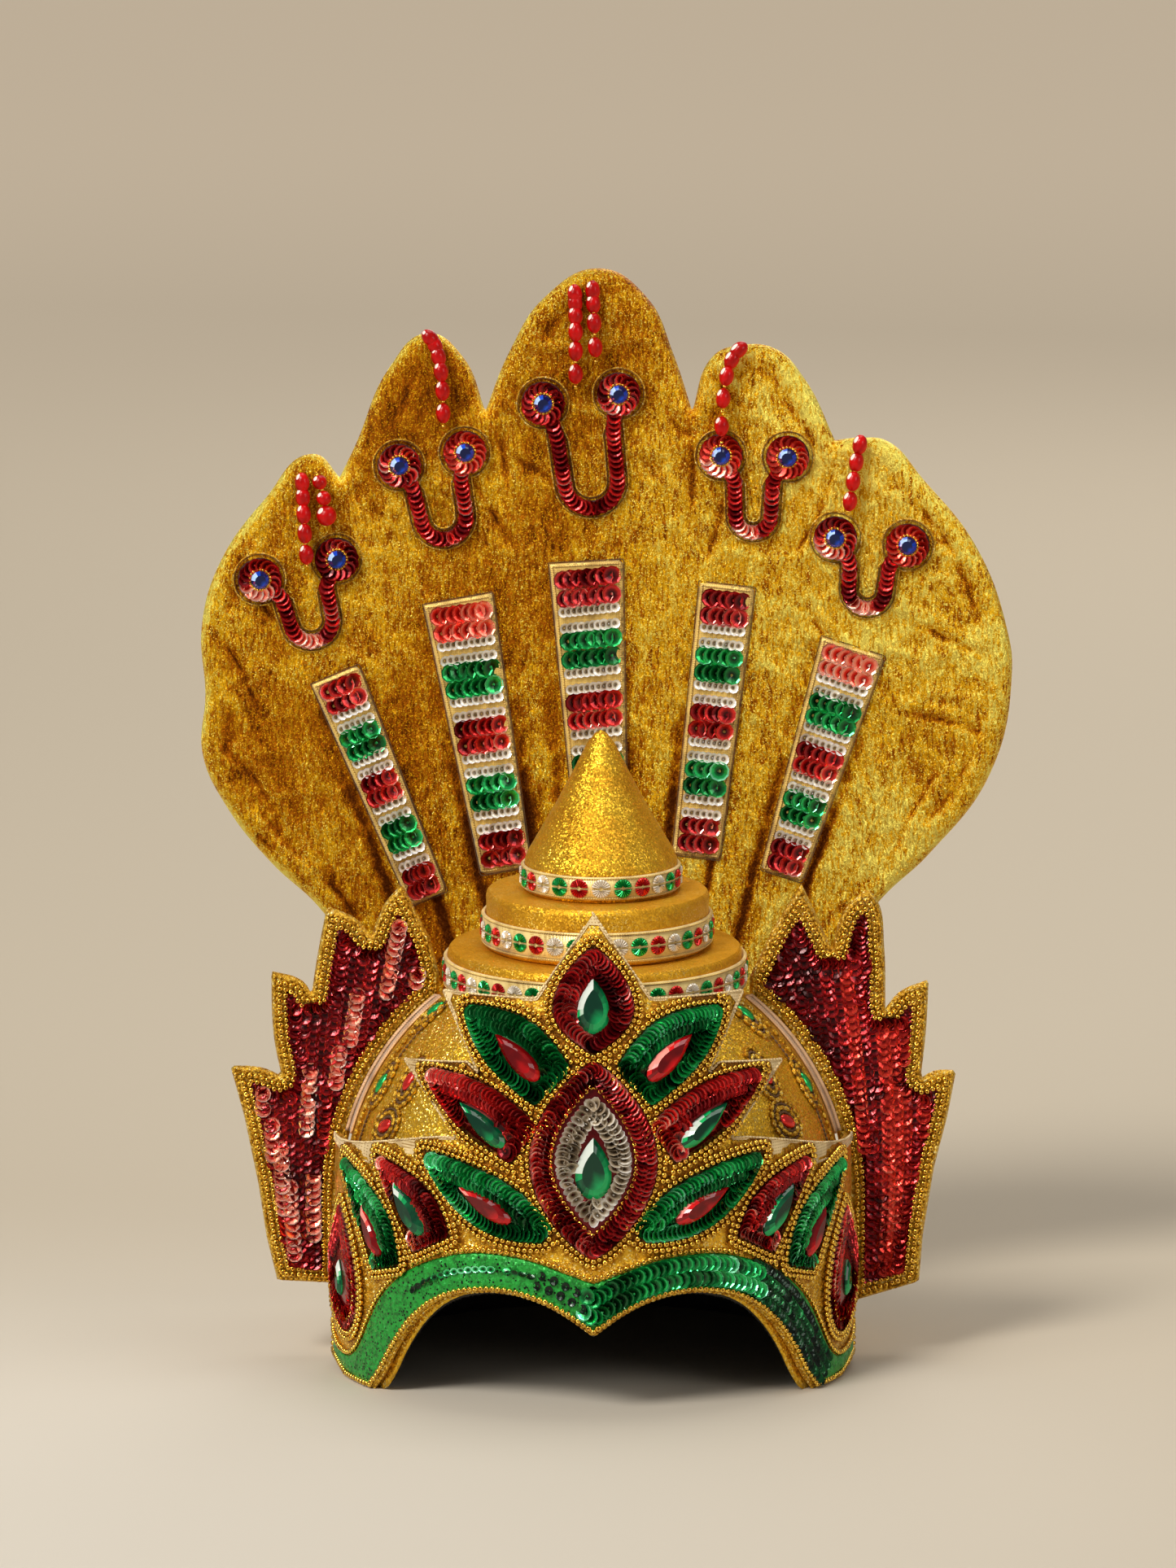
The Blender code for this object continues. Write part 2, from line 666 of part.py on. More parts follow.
def make_crest_stones():
    """The drop-shaped stones in the petals, flat backs on the petals' face."""
    outset = GAP + CREST_WALL + PETAL_RISE + GAP
    rows = [(stone, 1, "") for stone in MIDDLE_STONES]
    rows += [(stone, side, "_left" if side < 0 else "_right") for stone in SIDE_STONES for side in (-1, 1)]
    for stone, side, suffix in rows:
        ends = []
        for across, up in ((stone.root_across, stone.root_up), (stone.tip_across, stone.tip_up)):
            ends.append((side * across * crest_half_width(), up * CREST_HEIGHT))
        middle = [(low + high) / 2 for low, high in zip(*ends)]
        seat, normal = crest_frame(*middle, outset)
        run = crest_frame(*ends[1], outset)[0] - crest_frame(*ends[0], outset)[0]
        along = (run - normal * run.dot(normal)).normalized()
        mesh = cut_stone(stone.name, run.length, stone.width * CREST_HEIGHT, STONE_RISE)
        obj = piece(stone.name + suffix, mesh, stone.finish)
        turn = Matrix((along.cross(normal), along, normal)).transposed()
        obj.matrix_local = Matrix.Translation(seat) @ turn.to_4x4()


def seam_ribbon_top():
    """Height at which the dome is just wider than the lower tier that stands on it."""
    share = (LOWER_TIER_HALF_WIDTH + SEAM_RIBBON_CLEARANCE) / (SHELL_WIDTH / 2)
    return SPRING_HEIGHT + DOME_RISE * math.sqrt(1 - share**2)


def make_wings():
    """Wing plates, the flaps in front of their roots and the ribbons along their inner edges."""
    seat = dome_body("helmet with clearance", GAP)
    ribbon_out = dome_body("ribbon outside", GAP + RIBBON_WALL)
    room = LOWER_TIER_HALF_WIDTH + RIBBON_WALL + 2 * GAP
    drum = drum_profile(room, LOWER_TIER_FOOT - GAP, DOME_TOP + SPARE)
    name = "room for the lower tier"
    tier_room = helper(name, turned(name, drum, TIER_DEPTH_RATIO, TIER_SIDES))
    tier_room.location.x = LOWER_LEAN
    front = WING_BACKSET
    for side, word, table in ((-1, "left", WING_LEFT_EDGE), (1, "right", WING_RIGHT_EDGE)):
        outline = scaled(table, SHELL_WIDTH / 2 + WING_REACH, WING_HEIGHT, side)
        mesh = outline_prism(f"wing_{word}", outline, front, front + WING_WALL, resolution=2)
        wing = piece(f"wing_{word}", mesh, "red sequin")
        combine(wing, "DIFFERENCE", seat)
        combine(wing, "DIFFERENCE", tier_room)
        outline = scaled(FLAP_EDGE, SHELL_WIDTH / 2, WING_HEIGHT, side)
        mesh = outline_prism(f"side_flap_{word}", outline, GAP, front - GAP)
        flap = piece(f"side_flap_{word}", mesh, "gold cloth")
        combine(flap, "DIFFERENCE", seat)
        top = seam_ribbon_top()
        points = (
            Vector((LOWER_TIER_HALF_WIDTH / 2, SEAM_RIBBON_FOOT)),
            Vector((SEAM_RIBBON_REACH, SEAM_RIBBON_FOOT)),
            Vector((SEAM_RIBBON_REACH, top)),
            Vector((LOWER_TIER_HALF_WIDTH / 2, top)),
        )
        outline = scaled(corners_of(points), 1, 1, side)
        mesh = outline_prism(f"seam_ribbon_{word}", outline, -SEAM_RIBBON_WIDTH, 0)
        ribbon = piece(f"seam_ribbon_{word}", mesh, "sheer ribbon")
        combine(ribbon, "INTERSECT", ribbon_out)
        combine(ribbon, "DIFFERENCE", seat)
    return seat


def drum_profile(half_width, foot, top):
    """A tier's profile with a small chamfer round its top."""
    return [
        (0, foot),
        (half_width, foot),
        (half_width, top - TIER_CHAMFER),
        (half_width - TIER_CHAMFER, top),
        (0, top),
    ]


def ribbon_profile(half_width, foot, top):
    """A ribbon's closed profile round a tier."""
    inner = half_width + GAP
    outer = inner + RIBBON_WALL
    return [(inner, foot), (outer, foot), (outer, top), (inner, top), (inner, foot)]


def make_tiers(seat):
    """The oval drums and the cone, each with its ribbon."""
    lower_top = DOME_TOP + GAP + LOWER_TIER_ROOF
    middle_foot = lower_top + GAP
    middle_top = middle_foot + MIDDLE_TIER_HEIGHT
    cone_foot = middle_top + GAP
    cone = [(0, cone_foot)]
    cone += [(row.across * CONE_HALF_WIDTH, cone_foot + row.up * CONE_HEIGHT) for row in CONE_PROFILE]
    cone += [(0, cone_foot + CONE_HEIGHT)]
    lower_ribbon = lower_top - LOWER_RIBBON_DROP
    middle_ribbon = middle_foot + MIDDLE_RIBBON_LIFT
    cone_ribbon = cone_foot + CONE_RIBBON_LIFT
    rows = (
        (
            "lower",
            LOWER_LEAN,
            drum_profile(LOWER_TIER_HALF_WIDTH, LOWER_TIER_FOOT, lower_top),
            ribbon_profile(LOWER_TIER_HALF_WIDTH, lower_ribbon - RIBBON_HEIGHT, lower_ribbon),
        ),
        (
            "middle",
            MIDDLE_LEAN,
            drum_profile(MIDDLE_TIER_HALF_WIDTH, middle_foot, middle_top),
            ribbon_profile(MIDDLE_TIER_HALF_WIDTH, middle_ribbon, middle_ribbon + RIBBON_HEIGHT),
        ),
        (
            "cone",
            CONE_LEAN,
            cone,
            ribbon_profile(CONE_HALF_WIDTH, cone_ribbon, cone_ribbon + CONE_RIBBON_HEIGHT),
        ),
    )
    for word, lean, body, ribbon in rows:
        for name, profile, cloth in (
            (f"tier_{word}", body, "glitter gold"),
            (f"ribbon_{word}", ribbon, "sheer ribbon"),
        ):
            obj = piece(name, turned(name, profile, TIER_DEPTH_RATIO, TIER_SIDES), cloth)
            obj.location.x = lean
    combine(bpy.data.objects["tier_lower"], "DIFFERENCE", seat)


def hood_front(across):
    """Depth of the hood's front face at a distance from its middle."""
    return SHELL_DEPTH / 2 - HOOD_SEAT - HOOD_CUP * ((across - HOOD_SHIFT) / (HOOD_WIDTH / 2)) ** 2


def hood_layer(name, start, thickness):
    """A curved blank as tall as the hood, from start in front of the board's face, growing backwards."""
    bm = bmesh.new()
    half = HOOD_WIDTH / 2 + SPARE
    columns = [HOOD_SHIFT + half * (2 * column / HOOD_COLUMNS - 1) for column in range(HOOD_COLUMNS + 1)]
    verts = [bm.verts.new((across, hood_front(across) - start, 0)) for across in columns]
    edges = [bm.edges.new(pair) for pair in zip(verts, verts[1:])]
    grown = bmesh.ops.extrude_edge_only(bm, edges=edges)
    raised = [item for item in grown["geom"] if isinstance(item, bmesh.types.BMVert)]
    bmesh.ops.translate(bm, verts=raised, vec=(0, 0, HOOD_HEIGHT + SPARE))
    face_outwards(bm, lambda centre: Vector((0, 1, 0)))
    layer = helper(name, mesh_of(bm, name, smooth=False))
    thicken(layer, thickness, outwards=True)
    return layer


def make_hood(seat):
    """The five-lobed board, seated on the helmet's back."""
    outline = scaled(HOOD_EDGE, HOOD_WIDTH / 2, HOOD_HEIGHT, shift=HOOD_SHIFT)
    mesh = outline_prism("hood", outline, 0, REACH, resolution=2)
    hood = piece("hood", mesh, "gold cloth")
    combine(hood, "INTERSECT", hood_layer("hood layer", 0, HOOD_WALL))
    combine(hood, "DIFFERENCE", seat)


def hood_point(across, up):
    """A table's shares as a place on the hood, seen from the front."""
    return Vector((HOOD_SHIFT + across * HOOD_WIDTH / 2, up * HOOD_HEIGHT))


def corners_of(points):
    """Plain points as the corners of a straight-sided outline."""
    return [Corner(point.x, point.y, "corner") for point in points]


def make_strips():
    """Tapered cloth strips on the hood's front."""
    cloth = hood_layer("strip layer", GAP + STRIP_WALL, STRIP_WALL)
    for index, strip in enumerate(HOOD_STRIPS, start=1):
        top = hood_point(strip.top_across, strip.top_up)
        foot = hood_point(strip.foot_across, strip.foot_up)
        run = (foot - top).normalized()
        side = Vector((run.y, -run.x)) * HOOD_WIDTH / 4
        points = [
            top - side * strip.top_width,
            top + side * strip.top_width,
            foot + side * strip.foot_width,
            foot - side * strip.foot_width,
        ]
        name = f"hood_strip_{index}"
        mesh = outline_prism(name, corners_of(points), 0, SHELL_DEPTH)
        combine(piece(name, mesh, "light gold cloth"), "INTERSECT", cloth)


def loop_band(stems, drop, eyes):
    """Outline of the mark's loop: down one stem, round the foot and up the other, MARK_BAND wide."""
    half = MARK_BAND / 2
    radius = stems / 2
    turns = [math.pi * step / LOOP_STEPS for step in range(LOOP_STEPS + 1)]

    def line(grow):
        centre = Vector((0, radius - drop))
        foot = [centre - Vector((math.cos(turn), math.sin(turn))) * (radius + grow) for turn in turns]
        reach = eyes / 2 - (half - grow) * MARK_SPLAY
        return [Vector((-reach, 0))] + foot + [Vector((reach, 0))]

    return line(half) + line(-half)[::-1]


def disc_outline(centre, radius, sides):
    """A regular outline round a centre."""
    turns = [math.tau * (step + 0.5) / sides for step in range(sides)]
    return [centre + Vector((math.cos(turn), math.sin(turn))) * radius for turn in turns]


def make_marks():
    """Eye-and-loop appliques, with a faceted stone in each eye."""
    cloth = hood_layer("mark layer", GAP + MARK_WALL, MARK_WALL)
    half = HOOD_WIDTH / 2
    for index, mark in enumerate(HOOD_MARKS, start=1):
        turn = Matrix.Rotation(math.radians(mark.turn), 2)
        middle = hood_point(mark.across, mark.up)
        eyes = [Vector((side * mark.eyes * half / 2, 0)) for side in (-1, 1)]

        def placed(points, turn=turn, middle=middle):
            return corners_of([middle + turn @ point for point in points])

        name = f"hood_mark_{index}"
        band = placed(loop_band(mark.stems * half, mark.drop * half, mark.eyes * half))
        applique = piece(name, outline_prism(name, band, 0, SHELL_DEPTH), "red sequin")
        for number, eye in enumerate(eyes, start=1):
            disc_name = f"eye disc {index} {number}"
            disc_corners = placed(disc_outline(eye, EYE_RADIUS, EYE_DISC_SIDES))
            disc = outline_prism(disc_name, disc_corners, 0, SHELL_DEPTH)
            combine(applique, "UNION", helper(disc_name, disc))
            bm = bmesh.new()
            bmesh.ops.create_cone(
                bm,
                cap_ends=True,
                segments=EYE_SIDES,
                radius1=EYE_STONE_RADIUS,
                radius2=EYE_STONE_RADIUS * STONE_TABLE,
                depth=EYE_STONE_RISE,
            )
            place = middle + turn @ eye
            stone_name = f"eye_stone_{2 * index - 2 + number}"
            stone = piece(stone_name, mesh_of(bm, stone_name, smooth=False), "blue stone")
            slope = -2 * HOOD_CUP * (place.x - HOOD_SHIFT) / half**2
            normal = Vector((slope, -1, 0)).normalized()
            seat = Vector((place.x, hood_front(place.x), place.y))
            lift = 2 * GAP + MARK_WALL + EYE_STONE_RISE / 2
            stone.rotation_euler = normal.to_track_quat("Z", "Y").to_euler()
            stone.location = seat + normal * lift
        combine(applique, "INTERSECT", cloth)


def route_point(points, along):
    """A place on the smooth curve through three points, at a share of the way."""
    start, middle, end = points
    early = start * (1 - along) * (1 - 2 * along)
    late = end * along * (2 * along - 1)
    return early + middle * 4 * along * (1 - along) + late


def lift_over_mark(along):
    """How far a bead string has risen from the hood to pass in front of the mark at its lower end."""
    share = min(1.0, max(0.0, (along - BEAD_LIFT_START) / (BEAD_LIFT_END - BEAD_LIFT_START)))
    return (MARK_WALL + GAP) * share * share * (3 - 2 * share)


def make_bead_strings():
    """Strings of long beads on one thread, each a turned profile laid along its route."""
    for index, route in enumerate(BEAD_ROUTES, start=1):
        length = route.beads * BEAD_PITCH
        profile = [(0, 0)]
        for bead in range(route.beads):
            profile.append((BEAD_NECK / 2, bead * BEAD_PITCH))
            for along, share in BEAD_RINGS:
                profile.append((BEAD_WIDTH / 2 * share, (bead + along) * BEAD_PITCH))
        profile += [(BEAD_NECK / 2, length), (0, length)]
        name = f"bead_string_{index}"
        mesh = turned(name, profile, 1.0, BEAD_SIDES)
        points = [hood_point(*point) for point in route.points]
        for vert in mesh.vertices:
            along = vert.co.z / length
            place = route_point(points, along)
            ahead = route_point(points, along + SLOPE_STEP) - place
            side = Vector((-ahead.y, ahead.x)).normalized()
            flat = place + side * vert.co.x
            thread = hood_front(place.x) - GAP - BEAD_WIDTH / 2 - lift_over_mark(along)
            vert.co = (flat.x, thread - vert.co.y, flat.y)
        piece(name, mesh, "red bead")


def centre_on_origin():
    """Moves the carrier so that the crown's box stands centred on the origin."""
    bpy.context.view_layer.update()
    graph = bpy.context.evaluated_depsgraph_get()
    corners = []
    for obj in bpy.data.collections["dance_crown"].objects:
        if obj.type == "MESH":
            evaluated = obj.evaluated_get(graph)
            corners += [evaluated.matrix_world @ Vector(corner) for corner in evaluated.bound_box]
    middle_x = (min(corner.x for corner in corners) + max(corner.x for corner in corners)) / 2
    middle_y = (min(corner.y for corner in corners) + max(corner.y for corner in corners)) / 2
    bpy.data.objects["crown_carrier"].location = (-middle_x, -middle_y, 0)


def main():
    """Builds the crown from the helmet outwards."""
    clear_scene()
    make_helmet()
    make_crest()
    make_crest_stones()
    seat = make_wings()
    make_tiers(seat)
    make_hood(seat)
    make_strips()
    make_marks()
    make_bead_strings()
    centre_on_origin()


main()
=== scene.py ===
"""The looks of a dance crown: cloth, sequins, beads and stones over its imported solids.

Metres, +Z up, the front towards -Y. Shapes are worked out about the helmet's own axis, and each piece
is moved to its place in the frame when it is made.
"""

import logging
import math
from collections.abc import Callable, Sequence
from dataclasses import dataclass, field
from enum import Enum
from typing import Any, ClassVar, NamedTuple

import bpy
import numpy as np
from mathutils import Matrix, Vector, geometry, kdtree, noise


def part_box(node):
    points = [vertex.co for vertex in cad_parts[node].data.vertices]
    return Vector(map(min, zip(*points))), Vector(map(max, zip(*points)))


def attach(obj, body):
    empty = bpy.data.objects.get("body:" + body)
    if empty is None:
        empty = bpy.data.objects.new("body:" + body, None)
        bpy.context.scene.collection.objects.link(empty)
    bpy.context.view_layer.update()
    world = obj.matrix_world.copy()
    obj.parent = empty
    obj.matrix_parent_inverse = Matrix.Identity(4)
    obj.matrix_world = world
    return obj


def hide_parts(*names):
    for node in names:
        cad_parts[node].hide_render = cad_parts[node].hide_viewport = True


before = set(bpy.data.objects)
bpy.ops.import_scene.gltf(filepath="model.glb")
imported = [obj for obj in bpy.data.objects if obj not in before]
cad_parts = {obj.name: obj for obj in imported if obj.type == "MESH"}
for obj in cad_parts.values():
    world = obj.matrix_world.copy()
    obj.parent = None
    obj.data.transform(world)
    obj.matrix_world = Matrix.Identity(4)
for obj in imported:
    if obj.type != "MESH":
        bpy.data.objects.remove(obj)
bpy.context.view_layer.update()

LOG = logging.getLogger("dance_crown")
Array = np.ndarray
Colour = tuple[float, float, float]
Socket = bpy.types.NodeSocket
BODY = "root"

# The helmet's axis and form, read from its solid
SHELL_LOW, SHELL_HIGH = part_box("helmet_shell")
AXIS = np.array(((SHELL_LOW.x + SHELL_HIGH.x) / 2, (SHELL_LOW.y + SHELL_HIGH.y) / 2, 0.0))
SHELL_HALF = (SHELL_HIGH.x - SHELL_LOW.x) / 2
SHELL_RATIO = (SHELL_HIGH.y - SHELL_LOW.y) / (SHELL_HIGH.x - SHELL_LOW.x)
DOME_TOP = SHELL_HIGH.z
HOOD_LOW, HOOD_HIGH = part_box("hood")
HOOD_HALF = (HOOD_HIGH.x - HOOD_LOW.x) / 2
HOOD_TALL = HOOD_HIGH.z
HOOD_SHIFT = -AXIS[0]

# Sizes that the solids share
GAP = 0.0003
SPRING_HEIGHT = 0.060
DOME_RISE = 0.097
CREST_WALL = 0.003
CREST_TALL = 0.181
CREST_LEAN = 0.016
CREST_LEAN_START = 0.065
CREST_HALF = SHELL_HALF + GAP + CREST_WALL
ARCH_RISE = 0.0443
PETAL_RISE = 0.0012
WING_HALF = SHELL_HALF + 0.042
WING_TALL = 0.178
WING_WALL = 0.004
WING_BACKSET = 0.002
HOOD_WALL = 0.008
HOOD_SEAT = 0.005
HOOD_CUP = 0.012
MARK_WALL = 0.0018

# Steps of the workings
DENSE = 0.0004
TINY = 1e-9
SLOPE_STEP = 1e-4
AUTO_HANDLE = 2.5614
FULL_GIRTH = 0.9995

MIRROR = np.array((-1.0, 1.0))
UPWARD = np.array([[0.0, 1.0]])


class Side(Enum):
    """The crown's two sides, as seen from the front."""

    LEFT = -1
    RIGHT = 1

    @property
    def word(self) -> str:
        """The side's name inside a piece's name."""
        return self.name.lower()


class Hue(Enum):
    """Colours of the sequins, stitched motifs and stones."""

    RED = "red"
    GREEN = "green"
    SILVER = "silver"
    DARK_RED = "dark red"
    CORAL = "coral"
    BLUE = "blue"


class Corner(NamedTuple):
    """A point of an outline, as shares, and whether the outline passes it smoothly."""

    across: float
    up: float
    rounded: bool = False


class Leaf(NamedTuple):
    """A petal, as shares of the crest's half-width and height, and the hue of its sequins."""

    name: str
    hue: Hue
    root: tuple[float, float]
    tip: tuple[float, float]
    width: float
    blunt: float
    fullest: float
    fullness: float
    bend: float = 0.0


class Cut(NamedTuple):
    """A drop-shaped stone on the crest: its round end, its pointed end and its width."""

    name: str
    hue: Hue
    root: tuple[float, float]
    tip: tuple[float, float]
    width: float
    slim: float = 1.0
    low: float = 1.0


class Strip(NamedTuple):
    """A tapered cloth strip on the hood, as shares of its half-width and height."""

    top: tuple[float, float]
    foot: tuple[float, float]
    top_width: float
    foot_width: float


class Mark(NamedTuple):
    """An eye-and-loop applique on the hood: middle of the eyes, turn in degrees, then its sizes."""

    across: float
    up: float
    turn: float
    eyes: float
    drop: float
    stems: float


class Route(NamedTuple):
    """A bead string: its number of beads and the three points that its thread passes."""

    beads: int
    points: tuple[tuple[float, float], ...]


def corners(*points: tuple[float, ...]) -> tuple[Corner, ...]:
    """Corners from shares across and up, with a third entry of 1 where the outline is smooth."""
    return tuple(Corner(point[0], point[1], len(point) > 2) for point in points)


CREST_EDGE = corners(
    (0.0, 1.0), (0.210, 0.835), (0.545, 0.835), (0.420, 0.683), (0.460, 0.702), (0.690, 0.688),
    (0.500, 0.550), (0.570, 0.546, 1), (0.895, 0.490, 1), (1.1, 0.440), (1.1, 0.016),
    (0.955, 0.016), (0.915, 0.0),
)
ARCH_EDGE = corners(
    (0.820, 0.0), (0.780, 0.160, 1), (0.720, 0.450, 1), (0.635, 0.730, 1), (0.550, 0.890, 1),
    (0.450, 0.975, 1), (0.340, 1.0, 1), (0.225, 0.955, 1), (0.130, 0.865, 1), (0.0, 0.670),
)
# Upper edge of the green band, right half from the lobe's outer side inwards, as shares of the same sizes
BAND_EDGE = corners(
    (0.972, 0.330), (0.955, 0.240, 1), (0.915, 0.215, 1), (0.885, 0.280, 1), (0.860, 0.400, 1),
    (0.835, 0.565, 1), (0.785, 0.830, 1), (0.720, 1.030, 1), (0.660, 1.150, 1), (0.560, 1.270, 1),
    (0.455, 1.340, 1), (0.335, 1.350, 1), (0.220, 1.310, 1), (0.100, 1.220, 1), (0.0, 1.140),
)
PETALS = (
    Leaf("diamond", Hue.DARK_RED, (0.0, 0.729), (0.0, 0.938), 0.151, 0.0, 0.41, 0.85),
    Leaf("heart", Hue.DARK_RED, (0.0, 0.324), (0.0, 0.715), 0.240, 0.0, 0.49, 0.75),
    Leaf("upper", Hue.GREEN, (0.140, 0.662), (0.459, 0.812), 0.124, 0.80, 0.42, 0.80, 0.007),
    Leaf("middle", Hue.RED, (0.242, 0.548), (0.608, 0.681), 0.108, 0.87, 0.38, 0.80, 0.002),
    Leaf("lower", Hue.GREEN, (0.161, 0.371), (0.617, 0.516), 0.108, 0.30, 0.42, 0.80, -0.009),
    Leaf("outer", Hue.RED, (0.582, 0.328), (0.785, 0.490), 0.092, 0.93, 0.30, 0.80, 0.015),
    Leaf("edge", Hue.GREEN, (0.750, 0.262), (0.909, 0.460), 0.068, 0.80, 0.38, 0.70, 0.014),
    Leaf("side", Hue.RED, (0.908, 0.100), (0.921, 0.360), 0.056, -1.0, 0.35, 0.90),
)
CUTS = (
    Cut("top_stone", Hue.GREEN, (0.0, 0.768), (0.0, 0.877), 0.065),
    Cut("centre_stone", Hue.GREEN, (0.0, 0.4436), (0.0, 0.566), 0.0735),
    Cut("upper_stone", Hue.RED, (0.194, 0.678), (0.351, 0.761), 0.046),
    Cut("middle_stone", Hue.GREEN, (0.317, 0.544), (0.478, 0.621), 0.042),
    Cut("lower_stone", Hue.RED, (0.295, 0.394), (0.484, 0.454), 0.042),
    Cut("outer_stone", Hue.GREEN, (0.616, 0.347), (0.720, 0.442), 0.045),
    Cut("edge_stone", Hue.RED, (0.774, 0.282), (0.838, 0.380), 0.045, 0.8, 0.8),
    Cut("side_stone", Hue.GREEN, (0.925, 0.166), (0.930, 0.238), 0.045, 0.7, 0.5),
)
DROP = Leaf("drop", Hue.GREEN, (0.0, 0.0), (0.0, 0.0), 1.0, -1.0, 0.36, 0.85)
# Creases in the hood's tissue: each one's two ends
CREASES = (
    (-0.90, 0.714, -0.79, 0.655), (-0.97, 0.655, -0.83, 0.566), (-0.96, 0.555, -0.80, 0.472),
    (-0.90, 0.480, -0.74, 0.410), (-0.66, 0.783, -0.61, 0.697), (-0.28, 0.860, -0.23, 0.760),
    (-0.24, 0.820, -0.10, 0.790), (0.09, 0.985, 0.15, 0.925), (0.21, 0.865, 0.19, 0.750),
    (0.25, 0.915, 0.35, 0.865), (0.42, 0.890, 0.53, 0.820), (0.57, 0.810, 0.44, 0.710),
    (0.76, 0.790, 0.88, 0.715), (0.71, 0.580, 0.97, 0.560), (0.73, 0.665, 0.94, 0.635),
    (0.82, 0.525, 0.70, 0.440), (-0.46, 0.920, -0.54, 0.850), (-0.37, 0.820, -0.21, 0.730),
    (-0.73, 0.600, -0.62, 0.520), (0.50, 0.680, 0.62, 0.600), (-0.57, 0.880, -0.60, 0.800),
    (0.30, 0.800, 0.24, 0.715), (-0.86, 0.770, -0.93, 0.700),
)
WING_EDGES = {
    Side.LEFT: corners(
        (0.600, 0.150), (0.873, 0.160), (0.903, 0.256), (0.923, 0.361), (0.962, 0.508), (1.0, 0.616),
        (0.910, 0.611, 1), (0.859, 0.594), (0.880, 0.680, 1), (0.886, 0.816), (0.797, 0.793, 1),
        (0.775, 0.766), (0.762, 0.833, 1), (0.732, 0.953), (0.649, 0.924, 1), (0.611, 0.889),
        (0.575, 0.958), (0.526, 1.0), (0.448, 0.884), (0.424, 0.810), (0.424, 0.745), (0.300, 0.700),
    ),
    Side.RIGHT: corners(
        (0.600, 0.112), (0.724, 0.117), (0.900, 0.157), (0.910, 0.257), (0.940, 0.400), (0.976, 0.508),
        (1.0, 0.606), (0.940, 0.605, 1), (0.902, 0.589), (0.916, 0.690, 1), (0.923, 0.798), (0.842, 0.771, 1),
        (0.804, 0.737), (0.800, 0.867, 1), (0.781, 0.965, 1), (0.752, 0.990), (0.690, 0.945, 1),
        (0.656, 0.862), (0.601, 0.953), (0.572, 1.0), (0.492, 0.902), (0.430, 0.802),
        (0.430, 0.745), (0.300, 0.700),
    ),
}
FLAP_EDGE = corners((0.974, 0.170), (1.058, 0.156), (1.061, 0.250), (1.018, 0.350), (0.974, 0.340))
CONE_PROFILE = np.array((
    (1.00, 0.00), (1.00, 0.19), (0.97, 0.23), (0.80, 0.37), (0.59, 0.54), (0.38, 0.73), (0.19, 0.91),
    (0.08, 0.98), (0.00, 1.00),
))
HOOD_EDGE = corners(
    (-0.018, 1.0, 1), (-0.155, 0.972, 1), (-0.239, 0.922, 1), (-0.300, 0.864), (-0.357, 0.917, 1),
    (-0.443, 0.939, 1), (-0.535, 0.907, 1), (-0.620, 0.833, 1), (-0.659, 0.802), (-0.725, 0.825, 1),
    (-0.842, 0.783, 1), (-0.955, 0.722, 1), (-1.0, 0.662, 1), (-0.992, 0.596, 1), (-1.0, 0.540, 1),
    (-0.940, 0.487, 1), (-0.830, 0.432, 1), (-0.715, 0.389, 1), (-0.560, 0.298, 1), (-0.480, 0.202, 1),
    (-0.440, 0.076), (0.374, 0.076), (0.414, 0.202, 1), (0.493, 0.298, 1), (0.684, 0.398, 1),
    (0.796, 0.440, 1), (0.948, 0.520, 1), (1.0, 0.619, 1), (0.988, 0.658, 1), (0.908, 0.739, 1),
    (0.777, 0.802, 1), (0.691, 0.837, 1), (0.625, 0.840, 1), (0.562, 0.837), (0.486, 0.896, 1),
    (0.414, 0.924, 1), (0.328, 0.927, 1), (0.262, 0.917, 1), (0.210, 0.864), (0.163, 0.919, 1),
    (0.099, 0.972, 1),
)
STRIPS = (
    Strip((-0.675, 0.6145), (-0.445, 0.3975), 0.126, 0.098),
    Strip((-0.370, 0.6860), (-0.251, 0.4240), 0.173, 0.126),
    Strip((-0.052, 0.7210), (-0.011, 0.4370), 0.183, 0.125),
    Strip((0.299, 0.6990), (0.222, 0.4370), 0.138, 0.118),
    Strip((0.612, 0.6410), (0.435, 0.4195), 0.163, 0.106),
)
MARKS = (
    Mark(-0.766, 0.7165, 14.0, 0.196, 0.184, 0.105),
    Mark(-0.434, 0.8205, 11.0, 0.166, 0.203, 0.112),
    Mark(-0.065, 0.8773, 7.0, 0.189, 0.274, 0.132),
    Mark(0.365, 0.8227, -1.0, 0.165, 0.190, 0.087),
    Mark(0.656, 0.7424, -5.0, 0.180, 0.167, 0.090),
)
BEAD_ROUTES = (
    Route(5, ((-0.754, 0.8060), (-0.750, 0.7700), (-0.742, 0.7210))),
    Route(3, ((-0.717, 0.8070), (-0.700, 0.7850), (-0.692, 0.7600))),
    Route(6, ((-0.443, 0.9380), (-0.413, 0.9120), (-0.405, 0.8530))),
    Route(6, ((-0.080, 0.9800), (-0.078, 0.9500), (-0.078, 0.8900))),
    Route(4, ((-0.036, 0.9850), (-0.033, 0.9600), (-0.028, 0.9140))),
    Route(5, ((0.336, 0.9270), (0.295, 0.9000), (0.283, 0.8370))),
    Route(4, ((0.629, 0.8430), (0.612, 0.8100), (0.597, 0.7720))),
)


def unit(vectors: Array) -> Array:
    """The vectors at a length of one."""
    return vectors / np.maximum(np.linalg.norm(vectors, axis=-1, keepdims=True), TINY)


def smooth_step(values: Array) -> Array:
    """Values from 0 to 1 eased at both ends, and held there outside."""
    held = np.clip(values, 0.0, 1.0)
    return held * held * (3 - 2 * held)


def hump(values: Array, middle: float, width: float) -> Array:
    """A smooth hump of height 1 over the values, about a middle."""
    return np.exp(-(((values - middle) / width) ** 2))


